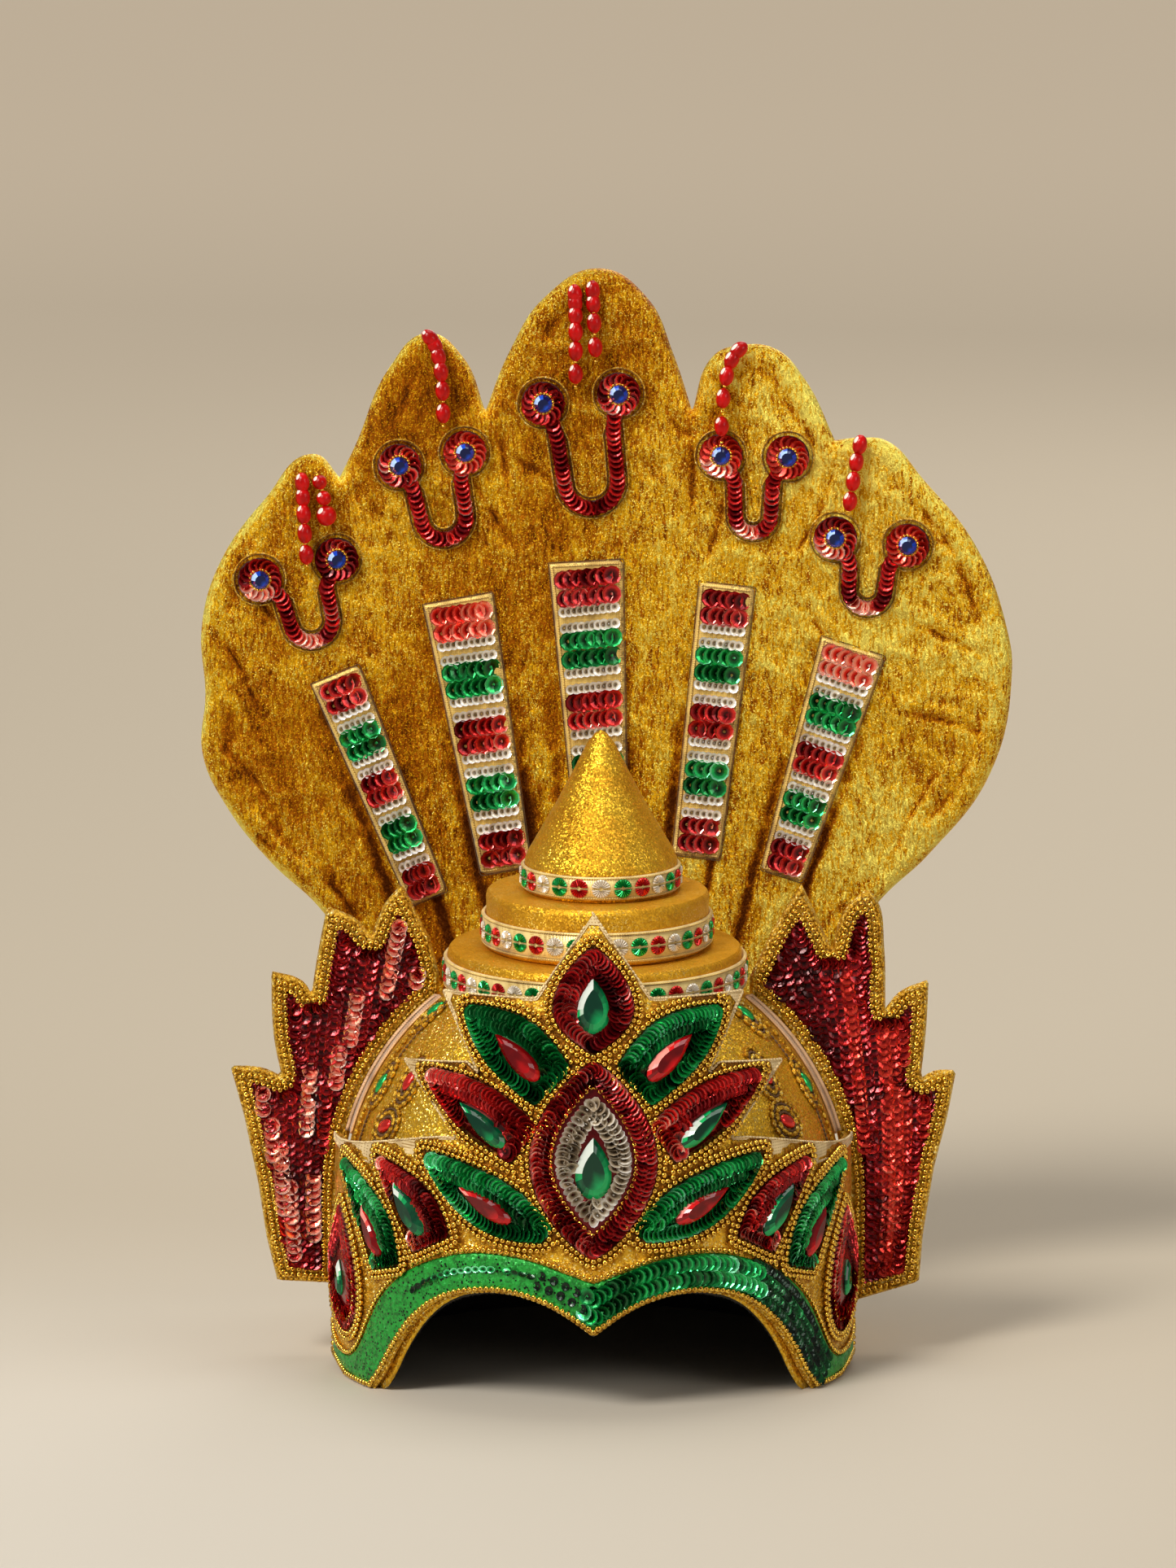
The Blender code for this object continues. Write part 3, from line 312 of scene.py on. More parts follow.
def clouds(places: Array, across: float, up: float, level: float) -> Array:
    """Smooth noise at flat places, stretched by two scales and cut at a level of its third axis."""
    return np.array([noise.noise((x * across, y * up, level)) for x, y in places])


def ring_points(count: int) -> Array:
    """Points round a circle of radius one, from its right."""
    turns = np.linspace(0.0, math.tau, count, endpoint=False)
    return np.stack([np.cos(turns), np.sin(turns)], axis=1)


def scaled(table: Sequence[Corner], half: float, tall: float, shift: float = 0.0) -> list[Corner]:
    """A table of shares as corners in metres, its middle moved along by a shift."""
    return [Corner(shift + corner.across * half, corner.up * tall, corner.rounded) for corner in table]


def drawn(line: Sequence[Corner], steps: int = 6) -> Array:
    """A closed outline through corners, smooth where they are rounded.

    Args:
        line: the outline's corners in order.
        steps: points to each stretch.

    Returns:
        The outline's points.
    """
    points = np.array([corner[:2] for corner in line])
    rounded = np.array([corner.rounded for corner in line])[:, None]
    before, after = np.roll(points, 1, axis=0), np.roll(points, -1, axis=0)
    reach_in = np.linalg.norm(points - before, axis=1, keepdims=True)
    reach_out = np.linalg.norm(after - points, axis=1, keepdims=True)
    turn = (after - points) / reach_out + (points - before) / reach_in
    span = np.linalg.norm(turn, axis=1, keepdims=True) * AUTO_HANDLE
    arriving = np.where(rounded, points - turn * reach_in / span, points + (before - points) / 3)
    leaving = np.where(rounded, points + turn * reach_out / span, points + (after - points) / 3)
    arriving = np.roll(arriving, -1, axis=0)
    share = (np.arange(steps) / steps)[:, None, None]
    rest = 1 - share
    between = 3 * rest**2 * share * leaving + 3 * rest * share**2 * arriving
    curve = rest**3 * points + between + share**3 * after
    return curve.transpose(1, 0, 2).reshape(-1, 2)


def even(path: Array, pitch: float, closed: bool = False) -> Array:
    """Evenly spaced points along a path.

    Args:
        path: the path's points.
        pitch: the distance wanted between points.
        closed: whether the path returns to its start.

    Returns:
        The new points, without a repeat of the first one on a closed path.
    """
    ring = np.vstack([path, path[:1]]) if closed else path
    marks = np.concatenate([[0.0], np.cumsum(np.linalg.norm(np.diff(ring, axis=0), axis=1))])
    count = max(3, round(marks[-1] / pitch))
    places = np.linspace(0.0, marks[-1], count + 1)
    if closed:
        places = places[:-1]
    return np.stack([np.interp(places, marks, column) for column in ring.T], axis=1)


def headings(path: Array, closed: bool = False) -> Array:
    """The direction of travel at each point of a path."""
    if closed:
        return unit(np.roll(path, -1, axis=0) - np.roll(path, 1, axis=0))
    return unit(np.vstack([path[1:], path[-1:]]) - np.vstack([path[:1], path[:-1]]))


def distances(points: Array, path: Array) -> Array:
    """Distance from each point to the nearest point of a dense path."""
    tree = kdtree.KDTree(len(path))
    for index, place in enumerate(path):
        tree.insert((place[0], place[1], 0.0), index)
    tree.balance()
    return np.array([tree.find((point[0], point[1], 0.0))[2] for point in points])


def inside(points: Array, outline: Array) -> Array:
    """Whether each point lies inside a closed outline."""
    found = np.zeros(len(points), bool)
    for (x1, y1), (x2, y2) in zip(outline, np.roll(outline, -1, axis=0)):
        crosses = (y1 > points[:, 1]) != (y2 > points[:, 1])
        if y1 != y2:
            found ^= crosses & (points[:, 0] < (x2 - x1) * (points[:, 1] - y1) / (y2 - y1) + x1)
    return found


def turn_way(outline: Array) -> float:
    """Twice the area of a closed outline, negative where it runs clockwise."""
    after = np.roll(outline, -1, axis=0)
    return float(np.sum(outline[:, 0] * after[:, 1] - after[:, 0] * outline[:, 1]))


def inset(outline: Array, distance: float, closed: bool = True) -> Array:
    """A line that keeps its distance inside a closed outline, or to the left of an open path.

    Args:
        outline: the outline or path.
        distance: how far in, or how far out where it is negative.
        closed: whether the outline is closed.

    Returns:
        The line's points, with the parts that would cross cut away.
    """
    dense = even(outline, DENSE, closed)
    ahead = headings(dense, closed)
    left = np.stack([-ahead[:, 1], ahead[:, 0]], axis=1)
    if closed:
        left = left * math.copysign(1.0, turn_way(dense))
    moved = dense + left * distance
    return moved[distances(moved, dense) > abs(distance) - DENSE / 2]


@dataclass
class Seats:
    """Places on the crown where small things are set, each with its heading and the way it faces."""

    points: Array
    ahead: Array
    normal: Array

    def tilted(self, angles: Array | float) -> "Seats":
        """The seats with their heads lowered by angles in radians."""
        turn = np.broadcast_to(angles, len(self.points))[:, None]
        ahead = self.ahead * np.cos(turn) - self.normal * np.sin(turn)
        return Seats(self.points, ahead, self.normal * np.cos(turn) + self.ahead * np.sin(turn))

    def rolled(self, angles: Array | float) -> "Seats":
        """The seats leant to the side by angles in radians."""
        turn = np.broadcast_to(angles, len(self.points))[:, None]
        side = np.cross(self.ahead, self.normal)
        return Seats(self.points, self.ahead, self.normal * np.cos(turn) + side * np.sin(turn))

    def lifted(self, lift: Array | float) -> "Seats":
        """The seats moved out along the way they face."""
        raised = self.points + self.normal * np.broadcast_to(lift, len(self.points))[:, None]
        return Seats(raised, self.ahead, self.normal)

    def laid(self) -> "Seats":
        """The seats turned so that a shape's upright axis lies along the heading."""
        return Seats(self.points, -self.normal, self.ahead)


class Skin:
    """A face of the crown that is charted flat, so that trimmings can be laid out on it."""

    def point(self, chart: Array) -> Array:
        """Points of the face at places on its chart."""
        raise NotImplementedError

    def seats(self, chart: Array, heading: Array, lift: Array | float = 0.0) -> Seats:
        """Seats at places on the chart.

        Args:
            chart: the places.
            heading: directions on the chart.
            lift: distance from the face.

        Returns:
            The seats.
        """
        aside, above = np.array((SLOPE_STEP, 0.0)), np.array((0.0, SLOPE_STEP))
        across = self.point(chart + aside) - self.point(chart - aside)
        up = self.point(chart + above) - self.point(chart - above)
        normal = unit(np.cross(across, up))
        ahead = heading[..., :1] * across + heading[..., 1:] * up
        ahead = unit(ahead - normal * np.sum(ahead * normal, axis=1, keepdims=True))
        return Seats(self.point(chart), ahead, normal).lifted(lift)

    def raised(self, chart: Array, lift: Array | float) -> Array:
        """Points at a distance from the face."""
        return self.seats(chart, np.array([[1.0, 0.0]]), lift).points


@dataclass
class FlatSkin(Skin):
    """An upright face at one depth, charted by the view from the front."""

    depth: float

    def point(self, chart: Array) -> Array:
        """Points of the face at places on its chart."""
        return np.stack([chart[:, 0], np.full(len(chart), self.depth), chart[:, 1]], axis=1)


class HoodSkin(Skin):
    """The hood's front face, a shallow cup that is charted by the view from the front."""

    def point(self, chart: Array) -> Array:
        """Points of the face at places on its chart."""
        off = (chart[:, 0] - HOOD_SHIFT) / HOOD_HALF
        depth = SHELL_HALF * SHELL_RATIO - HOOD_SEAT - HOOD_CUP * off**2
        return np.stack([chart[:, 0], depth, chart[:, 1]], axis=1)


class RoundSkin(Skin):
    """An oval face round an upright axis, charted by its girth from the front and its height."""

    def __init__(
        self, half: Callable[[Array], Array], ratio: float, reference: float, shift: float = 0.0
    ) -> None:
        """Measures the girth of the oval.

        Args:
            half: the oval's half-width at heights.
            ratio: its depth over its width.
            reference: the half-width at which the chart has its true girth.
            shift: the axis's distance to the right of the helmet's.
        """
        self.half = half
        self.ratio = ratio
        self.shift = shift
        self.turns = np.linspace(-math.pi, math.pi, 1441)
        x, y = np.sin(self.turns), -ratio * np.cos(self.turns)
        steps = np.hypot(np.diff(x), np.diff(y)) * reference
        self.girths = np.concatenate([[0.0], np.cumsum(steps)])
        self.girths -= self.girths[-1] / 2

    def point(self, chart: Array) -> Array:
        """Points of the face at places on its chart."""
        turn = np.interp(chart[:, 0], self.girths, self.turns)
        half = self.half(chart[:, 1])
        across = self.shift + half * np.sin(turn)
        return np.stack([across, -self.ratio * half * np.cos(turn), chart[:, 1]], axis=1)

    def chart(self, seen: Array) -> Array:
        """Places on the chart of points seen from the front."""
        share = np.clip((seen[:, 0] - self.shift) / self.half(seen[:, 1]), -1.0, 1.0)
        return np.stack([np.interp(np.arcsin(share), self.turns, self.girths), seen[:, 1]], axis=1)


def crest_half(heights: Array) -> Array:
    """Half-width of the crest's inner face at heights, where it has leant in."""
    rise = np.maximum(0.0, heights - CREST_LEAN_START) / (CREST_TALL - CREST_LEAN_START)
    return SHELL_HALF + GAP - CREST_LEAN * rise**2


def dome_half(heights: Array) -> Array:
    """Half-width of the helmet's skin at heights."""
    share = np.clip((heights - SPRING_HEIGHT) / DOME_RISE, 0.0, 0.999)
    return SHELL_HALF * np.sqrt(1 - share**2)


CREST = RoundSkin(crest_half, SHELL_RATIO, CREST_HALF)
DOME = RoundSkin(dome_half, SHELL_RATIO, SHELL_HALF)
HOOD = HoodSkin()
WING = FlatSkin(WING_BACKSET)


def crest_chart(seen: Array) -> Array:
    """An outline seen from the front, kept to the crest's face and laid on its chart."""
    limit = crest_half(seen[:, 1]) * FULL_GIRTH
    return CREST.chart(np.stack([np.clip(seen[:, 0], -limit, limit), seen[:, 1]], axis=1))


def hood_place(across: float, up: float) -> Array:
    """A table's shares as a place on the hood's chart."""
    return np.array((HOOD_SHIFT + across * HOOD_HALF, up * HOOD_TALL))


@dataclass(frozen=True)
class Shape:
    """A small form that is stamped many times: points, faces and how bright each point is."""

    points: Array
    faces: tuple[Array, ...]
    shades: Array


def turned(profile: Sequence[tuple[float, ...]], sides: int) -> Shape:
    """A form turned about Z.

    Args:
        profile: rows of radius, height and, where a row has it, shade; faces look out when it runs up.
        sides: sides of each ring.

    Returns:
        The form, with a single point where a radius is 0.
    """
    angles = np.arange(sides) * math.tau / sides
    points, shades, rings = [], [], []
    for radius, height, *shade in profile:
        count = sides if radius > 0 else 1
        ring = np.stack([radius * np.cos(angles), radius * np.sin(angles), np.full(sides, height)], axis=1)
        rings.append(len(points) + (np.arange(sides) if radius > 0 else np.zeros(sides, int)))
        points += list(ring[:count])
        shades += [shade[0] if shade else 1.0] * count
    faces = []
    for low, high in zip(rings, rings[1:]):
        quads = np.stack([low, np.roll(low, -1), np.roll(high, -1), high], axis=1)
        if low[0] == low[1]:
            quads = quads[:, [0, 2, 3]]
        elif high[0] == high[1]:
            quads = quads[:, :3]
        faces.append(quads)
    return Shape(np.array(points), tuple(faces), np.array(shades))


# Painted light in the shapes' shades: a sequin has a painted glint at its rim and painted shade towards its
# hole, a seed bead has painted shade in its hole and at its foot, and a stitch has painted shade at its two
# ends.
SEQUIN = turned(((0.50, 0.085, 1.30), (0.42, 0.020, 0.95), (0.22, -0.025, 0.30), (0.08, -0.045, 0.0)), 10)
SEED_BEAD = turned(
    ((0.42, -0.34, 0.5), (0.50, 0.02, 1.0), (0.34, 0.33, 1.0), (0.15, 0.26, 0.35), (0.0, 0.02, 0.0)), 7
)
BARREL = [(math.cos(angle) / 2, math.sin(angle) / 2) for angle in np.linspace(-1.25, 1.25, 7)]
OVAL_BEAD = turned([(0.0, -0.5), *BARREL, (0.0, 0.5)], 14)
DOT = turned(((0.5, 0.0), (0.0, 0.12)), 6)
STITCH = turned(((0.0, -0.5, 0.7), (0.5, -0.18, 1.0), (0.5, 0.18, 1.0), (0.0, 0.5, 0.7)), 5)


class Graph:
    """A node tree that is being filled in."""

    def __init__(self, tree: bpy.types.NodeTree) -> None:
        """Starts from an empty tree."""
        self.tree = tree
        tree.nodes.clear()

    def node(self, kind: str, inputs: dict[Any, Any] | None = None, **settings: Any) -> bpy.types.Node:
        """Adds a node.

        Args:
            kind: the node's type, without the word that all shader nodes start with.
            inputs: values or sockets for its inputs, by name or number.
            settings: its other properties.

        Returns:
            The node.
        """
        node = self.tree.nodes.new(kind if kind.startswith("NodeGroup") else f"ShaderNode{kind}")
        for key, value in settings.items():
            setattr(node, key, value)
        for key, value in (inputs or {}).items():
            if isinstance(value, Socket):
                self.tree.links.new(value, node.inputs[key])
            else:
                socket = node.inputs[key]
                socket.default_value = (*value, 1.0) if self.is_colour(socket, value) else value
        return node

    @staticmethod
    def is_colour(socket: Socket, value: Any) -> bool:
        """Whether a value is a colour that still lacks the alpha that its socket takes."""
        return socket.type == "RGBA" and len(value) == 3

    def math(self, operation: str, *values: Any) -> Socket:
        """The result of a Math node."""
        return self.node("Math", dict(enumerate(values)), operation=operation).outputs[0]

    def vector(self, operation: str, *values: Any) -> Socket:
        """The result of a Vector Math node, whose scale is the input of that name."""
        inputs = {("Scale" if operation == "SCALE" and i else i): value for i, value in enumerate(values)}
        outputs = self.node("VectorMath", inputs, operation=operation).outputs
        return outputs["Value" if operation in ("DOT_PRODUCT", "LENGTH") else "Vector"]

    def mix(self, share: Any, first: Any, second: Any, blend: str = "MIX") -> Socket:
        """Two colours mixed."""
        inputs = {0: share, 6: first, 7: second}
        return self.node("Mix", inputs, data_type="RGBA", blend_type=blend).outputs[2]

    def ramp(self, value: Any, low: float, high: float) -> Socket:
        """A value stretched so that low becomes 0 and high becomes 1, and held there."""
        inputs = {"Value": value, "From Min": low, "From Max": high}
        return self.node("MapRange", inputs, interpolation_type="SMOOTHSTEP").outputs[0]

    def cloud(self, place: Any, scale: Any, detail: float, **more: float) -> bpy.types.NodeOutputs:
        """The outputs of a noise texture."""
        return self.node("TexNoise", {"Vector": place, "Scale": scale, "Detail": detail, **more}).outputs

    def bump(self, height: Socket, distance: float, strength: float, **more: Socket) -> Socket:
        """The normals of a surface with small heights."""
        inputs = {"Height": height, "Distance": distance, "Strength": strength, **more}
        return self.node("Bump", inputs).outputs[0]

    def channel(self, colour: Socket, name: str) -> Socket:
        """One channel of a colour."""
        return self.node("SeparateColor", {"Color": colour}).outputs[name]

    def place(self) -> Socket:
        """The place on the crown, in metres."""
        return self.node("TexCoord").outputs["Object"]

    def facing(self) -> Socket:
        """The way that the surface faces."""
        return self.node("NewGeometry").outputs["Normal"]

    def shade(self) -> Socket:
        """The shade that each point of a mesh carries."""
        return self.node("Attribute", attribute_name="shade").outputs["Fac"]

    def effect(self, name: str, inputs: dict[str, Any]) -> bpy.types.NodeOutputs:
        """Places a shared effect and gives its outputs."""
        return self.node("Group", inputs, node_tree=bpy.data.node_groups[name]).outputs


class Effect:
    """A shader node group with named sockets that more than one finish uses."""

    def __init__(self, name: str, inputs: dict[str, str], outputs: dict[str, str]) -> None:
        """Makes the group and its sockets.

        Args:
            name: the effect's name.
            inputs: the kind of each input socket, by its name.
            outputs: the kind of each output socket, by its name.
        """
        tree = bpy.data.node_groups.new(name, "ShaderNodeTree")
        for sockets, way in ((inputs, "INPUT"), (outputs, "OUTPUT")):
            for title, kind in sockets.items():
                tree.interface.new_socket(title, in_out=way, socket_type=f"NodeSocket{kind}")
        self.graph = Graph(tree)
        self.given = self.graph.node("NodeGroupInput").outputs
        self.result = self.graph.node("NodeGroupOutput")

    def give(self, **sockets: Socket) -> None:
        """Joins sockets to the group's outputs by name."""
        for name, socket in sockets.items():
            self.graph.tree.links.new(socket, self.result.inputs[name])


def make_glitter() -> None:
    """Small flakes that each face their own way, and a mask of the brightest ones, on which the cloth paints
    a glint.
    """
    inputs = {"Place": "Vector", "Grain": "Float", "Tilt": "Float"}
    effect = Effect("glitter flakes", inputs, {"Normal": "Vector", "Flake": "Float"})
    graph, given = effect.graph, effect.given
    cells = graph.node("TexVoronoi", {"Vector": given["Place"], "Scale": given["Grain"]}).outputs["Color"]
    off = graph.vector("SUBTRACT", cells, (0.5, 0.5, 0.5))
    leant = graph.vector("ADD", graph.facing(), graph.vector("SCALE", off, given["Tilt"]))
    flake = graph.ramp(graph.channel(cells, "Red"), 0.72, 0.98)
    effect.give(Normal=graph.vector("NORMALIZE", leant), Flake=flake)


def make_crinkle() -> None:
    """Creases of thin stiff cloth: their height, and a painted shade that makes the cloth lighter and darker
    along them and on its crumpled facets.
    """
    inputs = {"Place": "Vector", "Stretch": "Vector", "Size": "Float", "Facets": "Float"}
    effect = Effect("crinkled cloth", inputs, {"Height": "Float", "Shade": "Float"})
    graph, given = effect.graph, effect.given
    place = graph.vector("MULTIPLY", given["Place"], given["Stretch"])
    broad = graph.cloud(place, given["Size"], 6.0, Roughness=0.62, Distortion=0.5)[0]
    fold = graph.math("ABSOLUTE", graph.math("SUBTRACT", broad, 0.5))
    fine = graph.cloud(place, graph.math("MULTIPLY", given["Size"], 3.1), 3.0)[0]
    height = graph.math("ADD", graph.math("MULTIPLY", fold, 2.0), graph.math("MULTIPLY", fine, 0.35))
    # Painted sheen: crumpled facets, cells of a wandering Voronoi pattern, each painted a little lighter or
    # darker
    wander = graph.vector("SUBTRACT", graph.cloud(given["Place"], 75.0, 2.0)["Color"], (0.5, 0.5, 0.5))
    bent = graph.vector("ADD", given["Place"], graph.vector("SCALE", wander, 0.02))
    bent = graph.vector("MULTIPLY", bent, (1.0, 0.2, 0.6))
    cells = graph.node("TexVoronoi", {"Vector": bent, "Scale": 110.0}).outputs["Color"]
    facet = graph.math("SUBTRACT", graph.channel(cells, "Green"), 0.5)
    facet = graph.math("MULTIPLY", facet, given["Facets"])
    effect.give(Height=height, Shade=graph.math("ADD", graph.ramp(broad, 0.34, 0.66), facet))


def make_weave() -> None:
    """Threads that cross at right angles, seen from the front: their height and the holes between."""
    outputs = {"Height": "Float", "Hole": "Float"}
    effect = Effect("woven threads", {"Place": "Vector", "Threads": "Float"}, outputs)
    graph, given = effect.graph, effect.given
    split = graph.node("SeparateXYZ", {0: graph.vector("SCALE", given["Place"], given["Threads"])}).outputs
    waves = [
        graph.math("ABSOLUTE", graph.math("SINE", graph.math("MULTIPLY", way, math.pi)))
        for way in (graph.math("ADD", split[0], split[1]), split[2])
    ]
    height = graph.math("MAXIMUM", *waves)
    effect.give(Height=height, Hole=graph.ramp(height, 0.75, 0.35))


def make_foil_tones() -> None:
    """Colours of a foil from its darkest to its glint, by the shade that each point carries; that shade is
    partly painted light and shade, and over 1.15 it gives a painted glint.
    """
    colours = dict.fromkeys(("Dark", "Middle", "Bright", "Glint"), "Color")
    effect = Effect("foil tones", {"Shade": "Float", "Place": "Vector", **colours}, {"Color": "Color"})
    graph, given = effect.graph, effect.given
    cloud = graph.cloud(given["Place"], 900.0, 2.0)[0]
    shade = graph.math("ADD", given["Shade"], graph.math("MULTIPLY", cloud, 0.16))
    colour = graph.mix(graph.ramp(shade, 0.08, 0.50), given["Dark"], given["Middle"])
    colour = graph.mix(graph.ramp(shade, 0.45, 1.00), colour, given["Bright"])
    effect.give(Color=graph.mix(graph.ramp(shade, 1.15, 1.75), colour, given["Glint"]))


@dataclass(frozen=True)
class Finish:
    """A material of the crown."""

    name: str

    def material(self) -> bpy.types.Material:
        """The finish's material, made on first use."""
        made = bpy.data.materials.get(self.name)
        if made is None:
            made = bpy.data.materials.new(self.name)
            made.use_nodes = True
            graph = Graph(made.node_tree)
            shader = graph.node("BsdfPrincipled", self.sockets(graph))
            graph.node("OutputMaterial", {"Surface": shader.outputs[0]})
        return made

    def sockets(self, graph: Graph) -> dict[str, Any]:
        """What feeds the Principled shader."""
        raise NotImplementedError


@dataclass(frozen=True)
class Toned(Finish):
    """A finish with four tones, from its darkest to its glint, picked by a shade that is partly painted
    light.
    """

    dark: Colour
    middle: Colour
    bright: Colour
    glint: Colour

    def colour(self, graph: Graph, tone: Socket) -> Socket:
        """The colour at a tone of 0 for the darkest, 1 for bright and over that for a painted glint."""
        tones = {"Dark": self.dark, "Middle": self.middle, "Bright": self.bright, "Glint": self.glint}
        return graph.effect("foil tones", {"Shade": tone, "Place": graph.place(), **tones})["Color"]


@dataclass(frozen=True)
class GlitterCloth(Toned):
    """Cloth of metal thread with glitter, creased or smooth."""

    grain: float = 2200.0
    tilt: float = 0.7
    size: float = 90.0
    stretch: Colour = (1.0, 1.0, 1.0)
    crease: float = 0.0004
    metal: float = 0.85
    rough: float = 0.38
    # contrast, spark and facets: how strongly the painted crease shade, the painted glints on glitter flakes
    # and the painted sheen of crumpled facets show
    contrast: float = 0.6
    spark: float = 0.9
    facets: float = 0.0

    def sockets(self, graph: Graph) -> dict[str, Any]:
        """What feeds the Principled shader."""
        place = graph.place()
        flakes = graph.effect("glitter flakes", {"Place": place, "Grain": self.grain, "Tilt": self.tilt})
        inputs = {"Place": place, "Stretch": self.stretch, "Size": self.size, "Facets": self.facets}
        creases = graph.effect("crinkled cloth", inputs)
        # Painted light: the crease shade and the glints on the glitter flakes lighten or darken the colour,
        # and each point's shade scales it
        lit = graph.math("ADD", graph.math("MULTIPLY", creases["Shade"], self.contrast), 1 - self.contrast)
        lit = graph.math("ADD", lit, graph.math("MULTIPLY", flakes["Flake"], self.spark))
        smoother = graph.math("MULTIPLY", creases["Shade"], -0.12)
        return {
            "Base Color": self.colour(graph, graph.math("MULTIPLY", lit, graph.shade())),
            "Metallic": self.metal,
            "Roughness": graph.math("ADD", smoother, self.rough + 0.08),
            "Normal": graph.bump(creases["Height"], self.crease, 1.0, Normal=flakes["Normal"]),
        }


@dataclass(frozen=True)
class Foil(Toned):
    """A glossy sequin or bead, whose tone changes from one to the next."""

    metal: float = 0.75
    rough: float = 0.22
    coat: float = 0.4

    def sockets(self, graph: Graph) -> dict[str, Any]:
        """What feeds the Principled shader."""
        scuffs = graph.cloud(graph.place(), 700.0, 3.0)[0]
        return {
            "Base Color": self.colour(graph, graph.shade()),
            "Metallic": self.metal,
            "Roughness": graph.math("ADD", graph.math("MULTIPLY", scuffs, 0.16), self.rough - 0.08),
            "Coat Weight": self.coat,
            "Coat Roughness": 0.08,
        }


@dataclass(frozen=True)
class CutStone(Finish):
    """A foil-backed acrylic stone: a clear gloss over painted reflections, dark and bright, and a painted
    glint in its glow colour.
    """

    dark: Colour
    bright: Colour
    glow: Colour

    def sockets(self, graph: Graph) -> dict[str, Any]:
        """What feeds the Principled shader."""
        swirl = graph.math("SUBTRACT", graph.cloud(graph.place(), 240.0, 2.0)[0], 0.5)
        clouded = graph.math("ADD", graph.shade(), graph.math("MULTIPLY", swirl, 0.5))
        colour = graph.mix(graph.ramp(clouded, 0.0, 1.0), self.dark, self.bright)
        return {
            "Base Color": graph.mix(graph.ramp(clouded, 1.15, 1.75), colour, self.glow),
            "Roughness": 0.3,
            "Specular IOR Level": 0.0,
            "Coat Weight": 0.8,
            "Coat Roughness": 0.03,
        }


# Ways where light is painted: a painted highlight on what faces the upper left and front, a painted glow on
# what faces the lower right
GLINT_WAY = unit(np.array((-0.62, -0.55, 0.56)))
GLOW_WAY = unit(np.array((0.66, 0.0, -0.75)))


@dataclass(frozen=True)
class GlassBead(Finish):
    """Clear coloured glass or acrylic, with a painted glow at its lower right and a painted highlight where
    it faces the upper left.
    """

    colour: Colour
    streak: Colour
    glow: Colour
    glint: Colour = (1.0, 0.80, 0.74)

    def sockets(self, graph: Graph) -> dict[str, Any]:
        """What feeds the Principled shader."""
        swirl = graph.cloud(graph.place(), 260.0, 2.0)[0]
        colour = graph.mix(graph.ramp(swirl, 0.35, 0.7), self.colour, self.streak)
        facing = graph.facing()
        # Painted highlight where the surface faces the upper left, and painted glow where it faces the lower
        # right
        glint = graph.ramp(graph.vector("DOT_PRODUCT", facing, GLINT_WAY), 0.935, 0.955)
        lower = graph.ramp(graph.vector("DOT_PRODUCT", facing, GLOW_WAY), 0.2, 0.9)
        return {
            "Base Color": graph.mix(glint, graph.mix(lower, colour, self.glow), self.glint),
            "Roughness": 0.3,
            "Specular IOR Level": 0.1,
            "Transmission Weight": 0.1,
            "IOR": 1.5,
            "Coat Weight": 0.2,
            "Coat Roughness": 0.03,
        }


@dataclass(frozen=True)
class Woven(Finish):
    """Plain woven cloth or ribbon."""

    thread: Colour
    between: Colour
    threads: float = 1500.0
    metal: float = 0.3
    rough: float = 0.5
    alpha: float = 1.0
    sheen: float = 0.3
    soil: Colour = (0.55, 0.48, 0.40)

    def sockets(self, graph: Graph) -> dict[str, Any]:
        """What feeds the Principled shader."""
        place = graph.place()
        weave = graph.effect("woven threads", {"Place": place, "Threads": self.threads})
        clean = graph.ramp(graph.cloud(place, 120.0, 4.0)[0], 0.25, 0.62)
        colour = graph.mix(weave["Hole"], self.thread, self.between)
        soiled = graph.mix(1.0, colour, self.soil, "MULTIPLY")
        sockets = {
            "Base Color": graph.mix(graph.math("MULTIPLY", clean, graph.shade()), soiled, colour),
            "Metallic": self.metal,
            "Roughness": self.rough,
            "Normal": graph.bump(weave["Height"], 0.00012, 0.8),
            "Sheen Weight": self.sheen,
        }
        if self.alpha < 1:
            open_share = graph.math("MULTIPLY", weave["Hole"], 1 - self.alpha)
            sockets["Alpha"] = graph.math("SUBTRACT", 1.0, open_share)
        return sockets


GOLD_TISSUE = GlitterCloth(
    "gold tissue", (0.10, 0.022, 0.001), (0.43, 0.122, 0.002), (0.84, 0.46, 0.009), (1.0, 0.84, 0.15),
    2600.0, 0.8, 900.0, (1.0, 1.0, 0.24), crease=0.0008, contrast=0.72, metal=0.95, spark=1.2, facets=0.5,
)
GLITTER_GOLD = GlitterCloth(
    "glitter gold", (0.24, 0.08, 0.002), (0.54, 0.24, 0.007), (0.84, 0.50, 0.030), (1.0, 0.86, 0.32),
    2100.0, 0.85, 60.0, crease=0.0001, contrast=0.35, spark=0.6,
)
TIER_TOP = GlitterCloth(
    "amber glitter", (0.20, 0.07, 0.001), (0.45, 0.19, 0.005), (0.72, 0.38, 0.018), (0.98, 0.75, 0.22),
    2300.0, 0.6, 60.0, crease=0.0001, rough=0.5, contrast=0.35, spark=0.5,
)
GOLD_BOARD = GlitterCloth(
    "gold board cloth", (0.025, 0.008, 0.001), (0.32, 0.12, 0.004), (0.80, 0.46, 0.03), (1.0, 0.86, 0.35),
    2000.0, 0.8, 220.0, crease=0.0003, contrast=0.45,
)
BRAID = GlitterCloth(
    "gold braid", (0.12, 0.04, 0.002), (0.42, 0.19, 0.008), (0.84, 0.52, 0.05), (1.0, 0.88, 0.40),
    1700.0, 1.0, 420.0, crease=0.0006,
)
